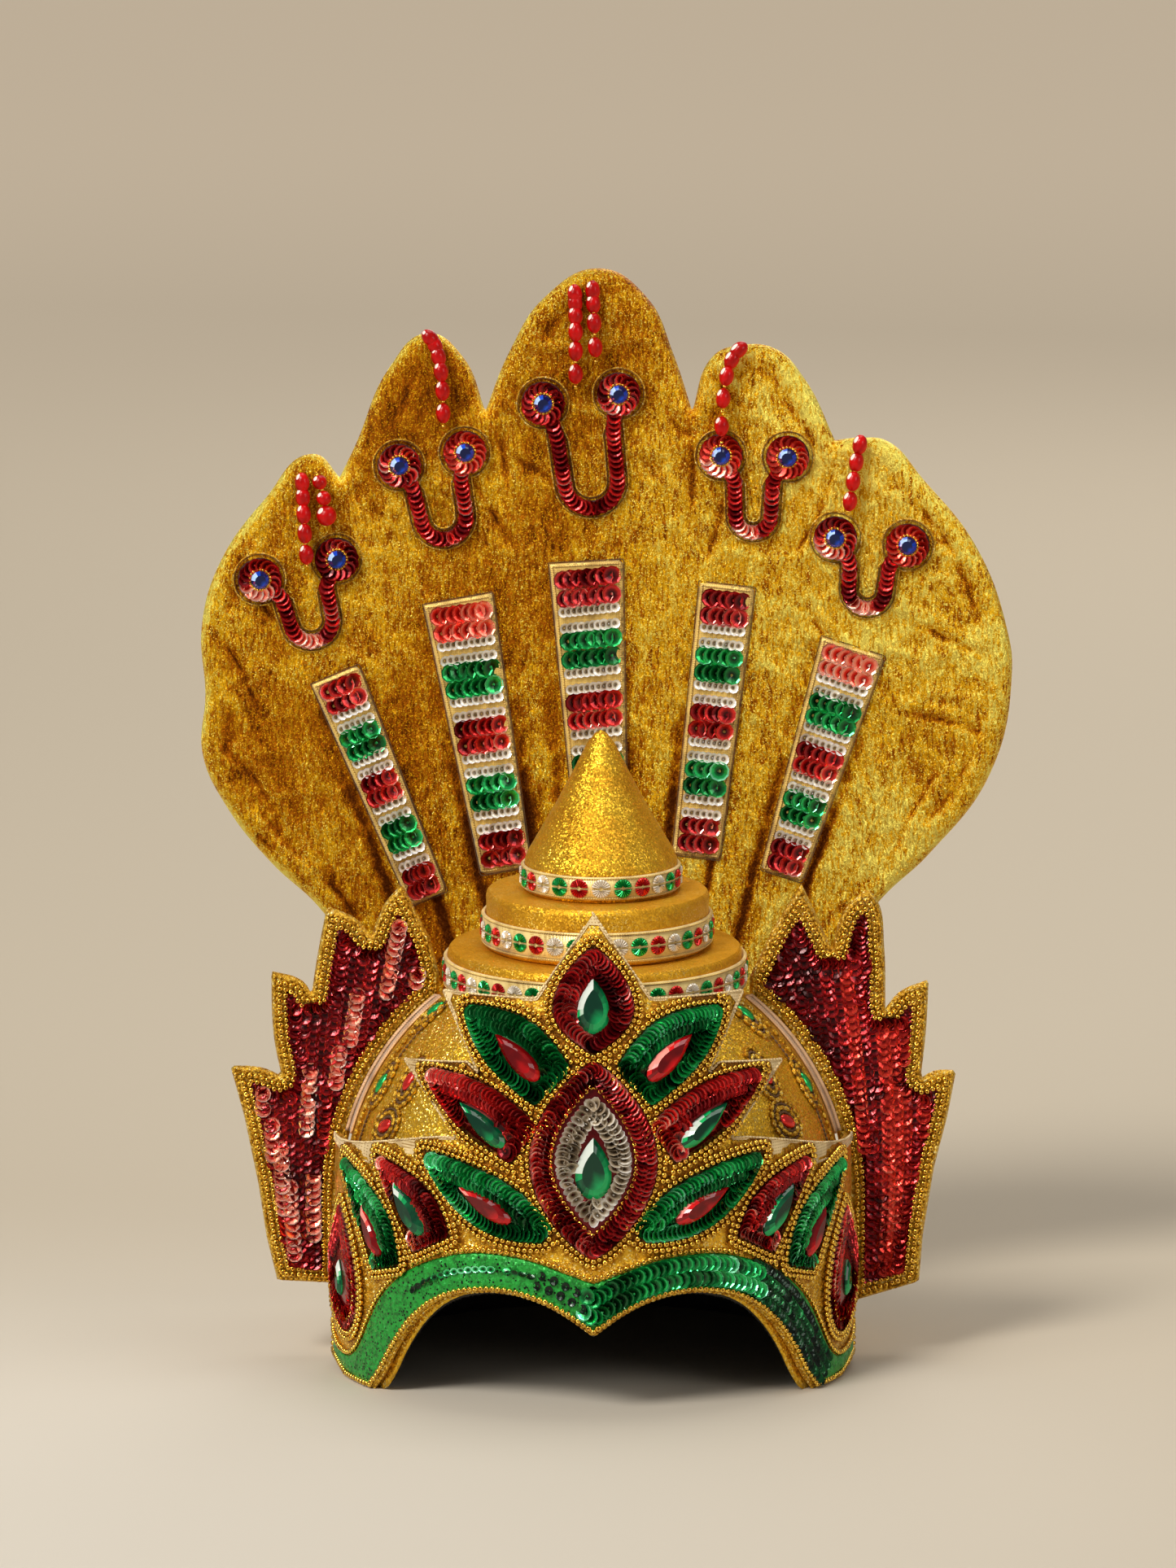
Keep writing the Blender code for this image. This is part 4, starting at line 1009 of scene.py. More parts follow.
GREEN_FOIL_CLOTH = GlitterCloth(
    "green foil cloth", (0.001, 0.018, 0.002), (0.004, 0.14, 0.014), (0.012, 0.33, 0.035), (0.08, 0.60, 0.16),
    1500.0, 0.5, 420.0, crease=0.0001, metal=0.35, rough=0.4, contrast=0.6, spark=0.4,
)
GAUZE = Woven("cream gauze", (0.86, 0.68, 0.36), (0.55, 0.34, 0.10), 900.0, 0.1, 0.5, 0.8)
STRIP_CLOTH = Woven("pale gold cloth", (0.86, 0.61, 0.17), (0.48, 0.28, 0.04), 1300.0, 0.45, 0.42)
RIBBON = Woven("sheer ribbon", (0.98, 0.76, 0.30), (0.72, 0.46, 0.10), 1500.0, 0.25, 0.32)
SEAM_RIBBON = Woven("seam ribbon", (0.80, 0.50, 0.28), (0.50, 0.26, 0.10), 1500.0, 0.15, 0.42)
LINING = Woven("black lining", (0.014, 0.013, 0.012), (0.004, 0.004, 0.004), 900.0, 0.0, 0.9, 1.0, 0.1)
DARK_THREAD = Woven("brown thread", (0.16, 0.07, 0.012), (0.06, 0.025, 0.005), 2400.0, 0.3, 0.5, 1.0, 0.1)
RED_CLOTH = Woven("red backing", (0.05, 0.001, 0.003), (0.015, 0.001, 0.001), 1500.0, 0.0, 0.7, 1.0, 0.0)
SEED_GOLD = Foil(
    "seed bead gold", (0.04, 0.012, 0.001), (0.44, 0.18, 0.007), (0.94, 0.60, 0.07), (1.0, 0.93, 0.6),
    1.0, 0.2,
)
SEQUINS = {
    Hue.RED: Foil(
        "red sequin", (0.022, 0.001, 0.001), (0.25, 0.004, 0.008), (0.78, 0.030, 0.025), (1.0, 0.52, 0.40),
        coat=0.2,
    ),
    Hue.DARK_RED: Foil(
        "dark red sequin", (0.016, 0.001, 0.001), (0.17, 0.003, 0.007), (0.62, 0.025, 0.025),
        (0.98, 0.4, 0.34), coat=0.2,
    ),
    Hue.GREEN: Foil(
        "green sequin", (0.001, 0.008, 0.003), (0.003, 0.14, 0.028), (0.012, 0.50, 0.11), (0.3, 0.98, 0.6),
        coat=0.3,
    ),
    Hue.SILVER: Foil(
        "silver sequin", (0.05, 0.028, 0.012), (0.44, 0.34, 0.22), (0.92, 0.86, 0.74), (1.0, 1.0, 1.0),
        0.35, 0.3,
    ),
    Hue.CORAL: Foil(
        "coral sequin", (0.28, 0.004, 0.004), (0.78, 0.045, 0.025), (0.98, 0.26, 0.17), (1.0, 0.7, 0.58),
        coat=0.05,
    ),
}
# Each stone's dark and bright colours carry its painted reflections, and its last colour is the painted glint
# on bevels towards the upper left
STONES = {
    Hue.GREEN: CutStone("green stone", (0.001, 0.028, 0.014), (0.008, 0.40, 0.11), (0.60, 0.66, 0.60)),
    Hue.RED: CutStone("red stone", (0.09, 0.001, 0.002), (0.62, 0.007, 0.009), (0.94, 0.30, 0.25)),
    Hue.BLUE: CutStone("blue stone", (0.001, 0.006, 0.05), (0.006, 0.07, 0.60), (0.40, 0.62, 1.0)),
}
# The red bead's third colour is its painted glow at the lower right; its painted highlight takes the glint
# colour
RED_GLASS = GlassBead("red bead", (0.34, 0.001, 0.001), (0.58, 0.002, 0.003), (0.90, 0.02, 0.015))


@dataclass
class Blank:
    """A flat outline cut up into triangles: its points, faces, distances to the edge and rim."""

    chart: Array
    faces: Array
    depth: Array
    rim: Array


def cut_blank(outline: Array, spacing: float, rings: Sequence[float] = ()) -> Blank:
    """Cuts a flat outline up into triangles.

    Args:
        outline: the closed outline.
        spacing: the distance between points.
        rings: distances from the edge at which lines of points follow it.

    Returns:
        The blank.
    """
    edge = even(outline, spacing, True)
    if turn_way(edge) < 0:
        edge = edge[::-1]
    dense = even(edge, DENSE, True)
    low, high = edge.min(axis=0), edge.max(axis=0)
    grid = []
    for row, up in enumerate(np.arange(low[1], high[1], spacing * math.sqrt(3) / 2)):
        across = np.arange(low[0] + spacing / 2 * (row % 2), high[0], spacing)
        grid.append(np.stack([across, np.full(len(across), up)], axis=1))
    grid = np.vstack(grid)
    grid = grid[inside(grid, edge)]
    margin = (rings[-1] if rings else 0.0) + 0.6 * spacing
    lines = [even(inset(edge, ring), spacing, True) for ring in rings]
    points = np.vstack([edge, *lines, grid[distances(grid, dense) > margin]])
    verts, _, faces, origins, _, _ = geometry.delaunay_2d_cdt(
        [Vector(point) for point in points], [], [list(range(len(edge)))], 1, 1e-7
    )
    chart = np.array([tuple(vert) for vert in verts])
    found = {origin: index for index, sources in enumerate(origins) for origin in sources}
    rim = np.array([found[index] for index in range(len(edge))])
    return Blank(chart, np.array([list(face) for face in faces]), distances(chart, dense), rim)


def grid_faces(rows: int, columns: int, closed: bool = False) -> Array:
    """Faces of a grid of points that is stored row by row, from its foot up.

    Args:
        rows: its rows of points.
        columns: its points in a row.
        closed: whether the last column joins the first.

    Returns:
        The faces, looking out where the columns run to the right.
    """
    number = np.arange(rows * columns).reshape(rows, columns)
    right = np.roll(number, -1, axis=1) if closed else number[:, 1:]
    left = number if closed else number[:, :-1]
    return np.stack([left[:-1], right[:-1], right[1:], left[1:]], axis=-1).reshape(-1, 4)


class Heap:
    """Meshes gathered for one piece, with each face's finish and each point's shade."""

    def __init__(self, seed: int) -> None:
        """Starts empty, with the seed of the piece's small irregularities."""
        self.points: list[Array] = []
        self.shades: list[Array] = []
        self.faces: list[tuple[Array, int, bool]] = []
        self.finishes: list[Finish] = []
        self.count = 0
        self.random = np.random.default_rng(seed)

    def add(
        self,
        points: Array,
        faces: Sequence[Array],
        finish: Finish,
        shades: Array | float = 1.0,
        smooth: bool = True,
    ) -> None:
        """Adds a mesh.

        Args:
            points: its points.
            faces: arrays of point numbers, one array for each number of sides.
            finish: its finish.
            shades: the points' shades.
            smooth: whether it is shaded smooth.
        """
        if finish not in self.finishes:
            self.finishes.append(finish)
        index = self.finishes.index(finish)
        self.faces += [(block + self.count, index, smooth) for block in faces if len(block)]
        self.points.append(points)
        self.shades.append(np.broadcast_to(shades, len(points)))
        self.count += len(points)

    def stamp(
        self,
        shape: Shape,
        seats: Seats,
        size: Any,
        finish: Finish,
        shades: Array | float = 1.0,
        smooth: bool = False,
    ) -> None:
        """Sets one copy of a shape on each seat.

        Args:
            shape: the shape, whose +Y looks ahead and +Z faces out.
            seats: the seats.
            size: each copy's size, or one size along X, Y and Z for them all.
            finish: the copies' finish.
            shades: how bright each copy is.
            smooth: whether the copies are shaded smooth.
        """
        count = len(seats.points)
        if not count:
            return
        size = np.asarray(size, float)
        size = np.broadcast_to(size[:, None] if size.ndim == 1 and len(size) == count else size, (count, 3))
        side = np.cross(seats.ahead, seats.normal)
        turn = np.stack([side, seats.ahead, seats.normal], axis=1)
        points = np.einsum("npk,nkc->npc", shape.points[None] * size[:, None], turn) + seats.points[:, None]
        offsets = np.arange(count)[:, None, None] * len(shape.points)
        faces = [(block[None] + offsets).reshape(-1, block.shape[1]) for block in shape.faces]
        tones = np.broadcast_to(shades, count)[:, None] * shape.shades[None]
        self.add(points.reshape(-1, 3), faces, finish, tones.ravel(), smooth)

    def plate(
        self,
        skin: Skin,
        blank: Blank,
        span: tuple[float, float, float],
        finish: Finish,
        shades: Array | float = 1.0,
        relief: Array | float = 0.0,
        back_relief: Array | float = 0.0,
    ) -> None:
        """Adds a closed plate with a round rim.

        Args:
            skin: the face that it lies on.
            blank: its outline, cut up.
            span: its inner face's distance from the skin, its thickness and how far in its rim is round.
            finish: its finish.
            shades: its points' shades.
            relief: how far its outer face stands out further.
            back_relief: how far its inner face does.
        """
        base, wall, rounding = span
        share = np.clip(blank.depth / rounding, 0.0, 1.0)
        half = wall / 2 * np.sqrt(1 - (1 - share) ** 2)
        on_rim = np.zeros(len(blank.chart), bool)
        on_rim[blank.rim] = True
        half[on_rim] = 0.0
        fade = np.where(on_rim, 0.0, share)
        front = skin.raised(blank.chart, base + wall / 2 + half + relief * fade)
        back = skin.raised(blank.chart, base + wall / 2 - half - back_relief * fade)
        tones = np.broadcast_to(shades, len(blank.chart))
        inner = np.flatnonzero(~on_rim)
        number = np.arange(len(blank.chart))
        number[inner] = len(blank.chart) + np.arange(len(inner))
        faces = [blank.faces, number[blank.faces][:, ::-1]]
        self.add(np.vstack([front, back[inner]]), faces, finish, np.concatenate([tones, tones[inner]]))

    def jitter(self, count: int, spread: float) -> Array:
        """Random values about 0."""
        return self.random.normal(0.0, spread, count)

    def drift(self, count: int, low: float, high: float, run: int = 7) -> Array:
        """Shades that wander from low to high along a row.

        Args:
            count: the number of shades.
            low: the darkest.
            high: the brightest.
            run: how many neighbours are alike.

        Returns:
            The shades.
        """
        knots = self.random.uniform(low, high, max(2, count // run + 2))
        wander = np.interp(np.linspace(0, len(knots) - 1, count), np.arange(len(knots)), knots)
        return wander + self.jitter(count, (high - low) * 0.22)

    def build(self, name: str, replaces: str | None = None, slot: str | None = None) -> None:
        """Makes the piece in its place on the crown.

        Args:
            name: the piece's name.
            replaces: the solid that it stands for.
            slot: not used.
        """
        points = np.vstack(self.points) + AXIS
        points[:, 2] = np.maximum(points[:, 2], 0.0)
        blocks = [block for block, _, _ in self.faces]
        sides = np.concatenate([np.full(len(block), block.shape[1]) for block in blocks])
        mesh = bpy.data.meshes.new(name)
        mesh.vertices.add(len(points))
        mesh.vertices.foreach_set("co", points.astype(np.float32).ravel())
        mesh.loops.add(int(sides.sum()))
        ends = np.concatenate([block.ravel() for block in blocks])
        mesh.loops.foreach_set("vertex_index", ends.astype(np.int32))
        mesh.polygons.add(len(sides))
        mesh.polygons.foreach_set("loop_start", (np.cumsum(sides) - sides).astype(np.int32))
        for setting, entry, kind in (("material_index", 1, np.int32), ("use_smooth", 2, bool)):
            values = np.concatenate([np.full(len(face[0]), face[entry], kind) for face in self.faces])
            mesh.polygons.foreach_set(setting, values)
        mesh.update(calc_edges=True)
        mesh.validate()
        mesh.attributes.new("shade", "FLOAT", "POINT")
        mesh.attributes["shade"].data.foreach_set("value", np.concatenate(self.shades).astype(np.float32))
        for finish in self.finishes:
            mesh.materials.append(finish.material())
        piece = bpy.data.objects.new(name, mesh)
        bpy.context.scene.collection.objects.link(piece)
        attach(piece, BODY)
        if replaces:
            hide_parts(replaces)
        LOG.info("%s: %d faces", name, len(sides))


class Sewn(NamedTuple):
    """How sequins are sewn on: their hue, then size, tilt and pitch as shares of the usual ones."""

    hue: Hue
    size: float = 1.0
    tilt: float = 1.0
    pitch: float = 1.0


@dataclass
class Needle:
    """Sews beads, sequins and thread onto a face of the crown, for one piece."""

    heap: Heap
    skin: Skin
    bead: float = 0.0021
    bead_pitch: float = 0.00228
    bead_clear: float = 0.00175
    sequin: float = 0.0057
    sequin_pitch: float = 0.0017
    sequin_tilt: float = 0.42
    stitch: float = 0.0006

    bead_rows: ClassVar[list[Array]] = []

    def beads(
        self, path: Array, lift: float, closed: bool = True, size: float = 1.0, within: Array | None = None
    ) -> None:
        """Sews a row of gold seed beads along a path.

        Args:
            path: the row's line on the chart.
            lift: the cloth's distance from the face.
            closed: whether the path is closed.
            size: the beads' size as a share of the usual one.
            within: the outline that the row keeps to, if any.
        """
        heap = self.heap
        spots = even(path, self.bead_pitch * size, closed)
        keep = np.ones(len(spots), bool) if within is None else inside(spots, within)
        if not keep.any():
            return
        middle = lift + self.bead * size * 0.36
        seats = self.skin.seats(spots[keep], headings(spots, closed)[keep], middle)
        seats = self.clear_of_others(seats, self.bead_clear * size)
        count = len(seats.points)
        seats = seats.tilted(heap.jitter(count, 0.22)).rolled(heap.jitter(count, 0.22))
        sizes = self.bead * size * (1 + heap.jitter(count, 0.05))
        heap.stamp(SEED_BEAD, seats, sizes, SEED_GOLD, heap.random.uniform(0.75, 1.1, count), True)

    def clear_of_others(self, seats: Seats, reach: float) -> Seats:
        """The seats that no bead of an earlier row holds already.

        Args:
            seats: the seats of a new row.
            reach: the least distance between two beads.

        Returns:
            The free seats.
        """
        free = np.ones(len(seats.points), bool)
        for row in self.bead_rows:
            free &= np.linalg.norm(seats.points[:, None] - row[None], axis=2).min(axis=1) > reach
        kept = Seats(seats.points[free], seats.ahead[free], seats.normal[free])
        if free.any():
            self.bead_rows.append(kept.points)
        return kept

    def sequins(
        self, path: Array, lift: float, sewn: Sewn, tones: tuple[float, float], closed: bool = False
    ) -> None:
        """Sews a row of overlapping sequins along a path.

        Args:
            path: the row's line on the chart.
            lift: the cloth's distance from the face.
            sewn: how they are sewn on.
            tones: their darkest and brightest shade.
            closed: whether the path is closed.
        """
        spots = even(path, self.sequin_pitch * sewn.pitch, closed)
        self.scatter(spots, headings(spots, closed), lift, sewn, self.heap.drift(len(spots), *tones))

    def scatter(self, spots: Array, heading: Array, lift: float, sewn: Sewn, shades: Array | float) -> None:
        """Sews sequins at given places.

        Args:
            spots: their places on the chart.
            heading: the way that each one's lowered edge looks.
            lift: the cloth's distance from the face.
            sewn: how they are sewn on.
            shades: their shades.
        """
        heap, count = self.heap, len(spots)
        across, lean = self.sequin * sewn.size, self.sequin_tilt * sewn.tilt
        seats = self.skin.seats(spots, heading, lift + across / 2 * math.sin(lean))
        seats = seats.tilted(lean + heap.jitter(count, 0.09)).rolled(heap.jitter(count, 0.10))
        heap.stamp(SEQUIN, seats, across * (1 + heap.jitter(count, 0.02)), SEQUINS[sewn.hue], shades)

    def stitches(
        self, path: Array, lift: float, finish: Finish, closed: bool = False, size: float = 1.0
    ) -> None:
        """Sews a thread down along a path, as a row of short stitches.

        Args:
            path: the thread's line on the chart.
            lift: the cloth's distance from the face.
            finish: the thread's finish.
            closed: whether the path is closed.
            size: its thickness as a share of the usual one.
        """
        across = self.stitch * size
        spots = even(path, across * 1.7, closed)
        seats = self.skin.seats(spots, headings(spots, closed), lift + across * 0.4).laid()
        shades = self.heap.drift(len(spots), 0.7, 1.0)
        self.heap.stamp(STITCH, seats, (across, across, across * 2.3), finish, shades, True)


def leaf_half(leaf: Leaf, along: Array) -> Array:
    """Half-width of a leaf or drop at shares of its length, as a share of its full width."""
    tip = np.clip((along - leaf.fullest) / (1 - leaf.fullest), 0.0, 1.0)
    root = np.clip((leaf.fullest - along) / leaf.fullest, 0.0, 1.0)
    outer = 0.5 * np.maximum(0.0, np.cos(math.pi / 2 * tip)) ** leaf.fullness
    if leaf.blunt < 0:
        inner = 0.5 * np.sqrt(1 - root**2)
    else:
        swell = np.maximum(0.0, np.cos(math.pi / 2 * root)) ** leaf.fullness
        inner = 0.5 * (leaf.blunt + (1 - leaf.blunt) * swell)
    return np.where(along >= leaf.fullest, outer, inner)


@dataclass
class Petal:
    """One petal of the crest, with its own outline and its stone's."""

    leaf: Leaf
    cut: Cut
    side: int
    steps: int = 28
    stone_steps: int = 16

    def __post_init__(self) -> None:
        """Draws both outlines on the crest's chart."""
        leaf = self.leaf
        root, tip = np.array((leaf.root, leaf.tip)) * np.array((CREST_HALF, CREST_TALL))
        axis = tip - root
        normal = unit(np.array((-axis[1], axis[0])))
        along = (1 - np.cos(np.linspace(0.0, math.pi, self.steps + 1))) / 2
        bend, half = leaf.bend * np.sin(math.pi * along), leaf.width * leaf_half(leaf, along)
        below, above = (
            root + along[:, None] * axis + ((bend + sign * half) * CREST_TALL)[:, None] * normal
            for sign in (-1, 1)
        )
        self.outline = crest_chart(np.vstack([below, above[::-1][1:]]) * np.array((self.side, 1.0)))
        start, end = CREST.chart(self.stone_ends())
        along = np.linspace(0.0, 1.0, self.stone_steps + 1)
        half = leaf_half(DROP, along)[:, None] * self.cut.width * CREST_TALL
        across = half * unit(np.array((end[1] - start[1], start[0] - end[0])))
        line = start + along[:, None] * (end - start)
        self.stone = np.vstack([line - across, (line + across)[::-1]])

    def stone_ends(self) -> Array:
        """The two ends of its stone, as seen from the front."""
        return np.array((self.cut.root, self.cut.tip)) * np.array((self.side * CREST_HALF, CREST_TALL))


def flipped(line: Sequence[Corner]) -> list[Corner]:
    """Corners mirrored to the left half."""
    return [corner._replace(across=-corner.across) for corner in line]


@dataclass
class Crest:
    """The front plate: its board, petals, green band, bead rows, gauze and stones."""

    spacing: float = 0.0021
    rounding: float = 0.0014
    petal_face: float = CREST_WALL + PETAL_RISE
    band_face: float = CREST_WALL + 0.0007
    bead_depths: tuple[float, float] = (-0.0010, -0.0031)
    pad_reach: float = 0.0034
    pad_slope: float = 0.0012
    stone_rise: float = 0.0035
    stone_clear: float = 0.0014
    gauze_foot: float = 0.083
    gauze_top: float = 0.0965
    gauze_start: float = 0.050
    petals: list[Petal] = field(default_factory=list)

    # Depths of a petal's rings of sequins, and the sequins' size
    RINGS = {
        "diamond": ((0.0094, 0.0062, 0.0030), 1.08),
        "heart": ((0.0052, 0.0027), 1.0),
        "outer": ((0.0078, 0.0052, 0.0026), 0.88),
        "edge": ((0.0074, 0.0050, 0.0026), 0.88),
        "side": ((0.0072, 0.0044, 0.0018), 0.66),
    }
    OTHER_RINGS = ((0.0092, 0.0061, 0.0030), 1.08)
    # Rows of sequins on the band: their depths, the stretch across, pitch, size and shades
    BAND_ROWS = (
        ((0.0056, 0.0112), (-0.004, 0.066), 0.0026, 1.12, (0.35, 1.15)),
        ((0.0062, 0.0102, 0.0140), (-0.022, 0.002), 0.0046, 0.62, (0.0, 0.3)),
        ((0.0036, 0.0070, 0.0104, 0.0138, 0.0172), (0.060, 0.2), 0.0016, 0.66, (0.0, 0.45)),
    )

    def __post_init__(self) -> None:
        """Draws the petals, the plate's outline and the green band's."""
        for leaf, cut in zip(PETALS, CUTS):
            for side in (1,) if leaf.root[0] == 0 else (-1, 1):
                self.petals.append(Petal(leaf, cut, side))
        arch, band = (scaled(edge, CREST_HALF, ARCH_RISE) for edge in (ARCH_EDGE, BAND_EDGE))
        right = scaled(CREST_EDGE, CREST_HALF, CREST_TALL) + arch
        self.outline = crest_chart(drawn(right + flipped(right[1:-1])[::-1]))
        foot = [Corner(0.975 * CREST_HALF, 0.004), Corner(0.93 * CREST_HALF, 0.0015)]
        ring = foot + arch + flipped(foot + arch[:-1])[::-1] + flipped(band) + band[:-1][::-1]
        self.green = even(inset(crest_chart(drawn(ring)), 0.0013), 0.001, True)
        self.arch, self.band = self.mirrored(arch), self.mirrored(band)

    def mirrored(self, line: Sequence[Corner], steps: int = 6) -> Array:
        """An open line over both halves of the plate, from the left lobe to the right one."""
        half = drawn(line, steps)[: (len(line) - 1) * steps + 1]
        half[-1, 0] = 0.0
        return crest_chart(np.vstack([half * MIRROR, half[::-1][1:]]))

    def make(self) -> None:
        """Makes every piece of the crest."""
        self.make_board()
        self.make_sequins()
        self.make_beads()
        self.make_stones()

    def make_board(self) -> None:
        """The cloth-covered board, with its petals raised and gauze where nothing covers it."""
        blank = cut_blank(self.outline, self.spacing, (0.0004, 0.0010))
        rise, clear = np.zeros(len(blank.chart)), np.ones(len(blank.chart))
        for petal in self.petals:
            gap = distances(blank.chart, even(petal.outline, DENSE, True))
            within = inside(blank.chart, petal.outline)
            slope = smooth_step(1 - (gap - self.pad_reach) / self.pad_slope)
            rise = np.maximum(rise, np.where(within, 1.0, slope))
            clear = np.minimum(clear, np.where(within, 0.0, gap))
        line = even(self.band, DENSE)
        over = blank.chart[:, 1] > np.interp(blank.chart[:, 0], line[:, 0], line[:, 1])
        rise *= np.where(over, smooth_step((distances(blank.chart, line) - 0.0010) / 0.0010), 0.0)
        heap = Heap(11)
        relief = rise * PETAL_RISE + clouds(blank.chart, 160, 160, 0.0) * 0.0003
        # Painted shade: the cloth is darker under and beside the bead rows round each petal, and darkest
        # inside the petals under their sequins
        shades = 1 - 0.72 * smooth_step((0.0048 - clear) / 0.0010) - 0.20 * (clear < 0.0004)
        heap.plate(CREST, blank, (0.0, CREST_WALL, self.rounding), GOLD_BOARD, shades, relief)
        up, across = blank.chart[:, 1], CREST.point(blank.chart)[:, 0]
        strip = (up > self.gauze_foot) & (up < self.gauze_top) & (np.abs(across) > self.gauze_start)
        bare = (clear > 0.0046) & (strip | ((blank.depth < 0.0011) & (up > self.gauze_foot)))
        self.lay_gauze(heap, blank, blank.faces[bare[blank.faces].all(axis=1)])
        heap.build("crest_board", "crest_plate", "gold_cloth")

    def lay_gauze(self, heap: Heap, blank: Blank, faces: Array) -> None:
        """Lays cream gauze on the board's bare faces.

        Args:
            heap: the piece that it is added to.
            blank: the board's blank.
            faces: the bare faces.
        """
        used = np.unique(faces)
        number = np.zeros(len(blank.chart), int)
        number[used] = np.arange(len(used))
        lift = CREST_WALL + 0.00035 + heap.jitter(len(used), 0.00008)
        points = CREST.raised(blank.chart[used], lift)
        heap.add(points, [number[faces]], GAUZE, heap.random.uniform(0.7, 1.0, len(used)))

    def make_sequins(self) -> None:
        """The petals' rings of sequins and the green band."""
        red, green = Needle(Heap(21), CREST), Needle(Heap(22), CREST)
        for petal in self.petals:
            self.fill_petal(green if petal.leaf.hue is Hue.GREEN else red, petal)
        heart = self.petals[1]
        self.fill_ring(red, heart, 0.0150, Sewn(Hue.SILVER, 1.0, 1.9, 1.4), (0.3, 0.9))
        self.fill_ring(red, heart, 0.0120, Sewn(Hue.SILVER, 1.0, 2.1, 1.4), (0.45, 1.3))
        self.fill_band(green)
        red.heap.build("crest_red_sequins", slot="red_sequin")
        green.heap.build("crest_green_sequins")

    def fill_petal(self, needle: Needle, petal: Petal) -> None:
        """Fills a petal with rings of sequins from its stone out to its bead rows."""
        depths, size = self.RINGS.get(petal.leaf.name, self.OTHER_RINGS)
        hue = petal.leaf.hue
        # Painted shade: a dark sheet of the petal's sequin foil, at shade 0.3, fills the petal under its
        # sequins
        blank = cut_blank(inset(petal.outline, 0.0007), 0.003)
        needle.heap.plate(CREST, blank, (self.petal_face + 0.0001, 0.0002, 0.0001), SEQUINS[hue], 0.3)
        for number, depth in enumerate(depths, start=1):
            # Painted shade: the inner rings, which lie under the outermost ring, are painted darker than it
            top = (1.4 if number == len(depths) else 0.9) * (1.25 if hue is Hue.DARK_RED else 1.0)
            self.fill_ring(needle, petal, depth, Sewn(hue, size), (0.25 * top, top))

    def fill_ring(
        self, needle: Needle, petal: Petal, depth: float, sewn: Sewn, tones: tuple[float, float]
    ) -> None:
        """Sews a ring of sequins round a petal's stone, with painted light that makes them brighter towards
        the crest's lower left.

        Args:
            needle: the needle of the piece that they are added to.
            petal: the petal.
            depth: how far in from the petal's outline the ring runs.
            sewn: how they are sewn on.
            tones: their darkest and brightest shade.
        """
        path = inset(petal.outline, depth)
        if len(path) < 12:
            return
        spots = even(path, needle.sequin_pitch * sewn.pitch, True)
        keep = ~inside(spots, inset(petal.stone, -self.stone_clear))
        off = (spots - petal.outline.mean(axis=0)) / np.ptp(petal.outline, axis=0).max()
        shades = needle.heap.drift(len(spots), *tones) * (1 - 0.45 * (off[:, 0] + off[:, 1]))
        needle.scatter(spots[keep], headings(spots, True)[keep], self.petal_face, sewn, shades[keep])

    def fill_band(self, needle: Needle) -> None:
        """Fills the green band: smooth foil cloth on the left, rows of sequins on the right."""
        heap, foil = needle.heap, SEQUINS[Hue.GREEN]
        blank = cut_blank(self.green, 0.0022, (0.0006,))
        heap.plate(CREST, blank, (CREST_WALL + 0.0001, 0.0008, 0.0008), GREEN_FOIL_CLOTH)
        field_edge = inset(self.green, 0.0012)
        for depths, (start, end), pitch, size, tones in self.BAND_ROWS:
            for depth in depths:
                spots = even(inset(self.arch, depth, False), pitch)
                keep = inside(spots, field_edge) & (spots[:, 0] > start) & (spots[:, 0] < end)
                spots, heading = spots[keep], -headings(spots)[keep]
                shades = heap.drift(len(spots), *tones)
                needle.scatter(spots, heading, self.band_face, Sewn(Hue.GREEN, size, 0.85), shades)
        row = inset(self.arch, 0.0088, False)
        chips = even(row[(row[:, 0] > -0.072) & (row[:, 0] < -0.022)], 0.0030)
        seats = CREST.seats(chips, headings(chips), CREST_WALL + 0.0015).rolled(heap.jitter(len(chips), 0.35))
        # Painted highlight: the chips glint brightest about 46 mm left of the middle and darken to either
        # side
        bright = 0.05 + 2.0 * hump(chips[:, 0], -0.046, 0.013)
        heap.stamp(SEQUIN, seats, np.array((0.0026, 0.0036, 0.0020)), foil, bright)
        dots = heap.random.uniform(self.green.min(axis=0), (0.0, self.green[:, 1].max()), (1500, 2))
        dots = dots[inside(dots, field_edge)]
        seats = CREST.seats(dots, UPWARD.repeat(len(dots), axis=0), CREST_WALL + 0.0010)
        heap.stamp(DOT, seats, heap.random.uniform(0.0005, 0.0010, len(dots)), foil, 0.0)

    def make_beads(self) -> None:
        """The rows of gold beads round the petals, the heart's inner field and the band."""
        needle = Needle(Heap(31), CREST)
        edge = inset(self.outline, 0.0008)
        for depth in self.bead_depths:
            for petal in self.petals:
                needle.beads(inset(petal.outline, depth), self.petal_face, within=edge)
        needle.beads(inset(self.petals[1].outline, 0.0074), self.petal_face)
        for petal in self.petals:
            if petal.leaf.name == "side":
                needle.beads(inset(petal.outline, 0.0042), self.petal_face, size=0.8)
        low = np.flatnonzero(self.outline[:, 1] < 0.022)
        foot = self.outline[low[0] : low[-1] + 1][::-1]
        needle.beads(inset(foot, 0.0016, False), CREST_WALL + 0.0002, False)
        needle.stitches(inset(foot, 0.0002, False), 0.0016, BRAID, size=2.0)
        needle.beads(self.band, CREST_WALL + 0.0002, False)
        top = self.outline[self.outline[:, 1] > self.gauze_foot]
        needle.stitches(even(top, 0.001), CREST_WALL, GAUZE, size=1.6)
        needle.heap.build("crest_beads", slot="gold_cloth")

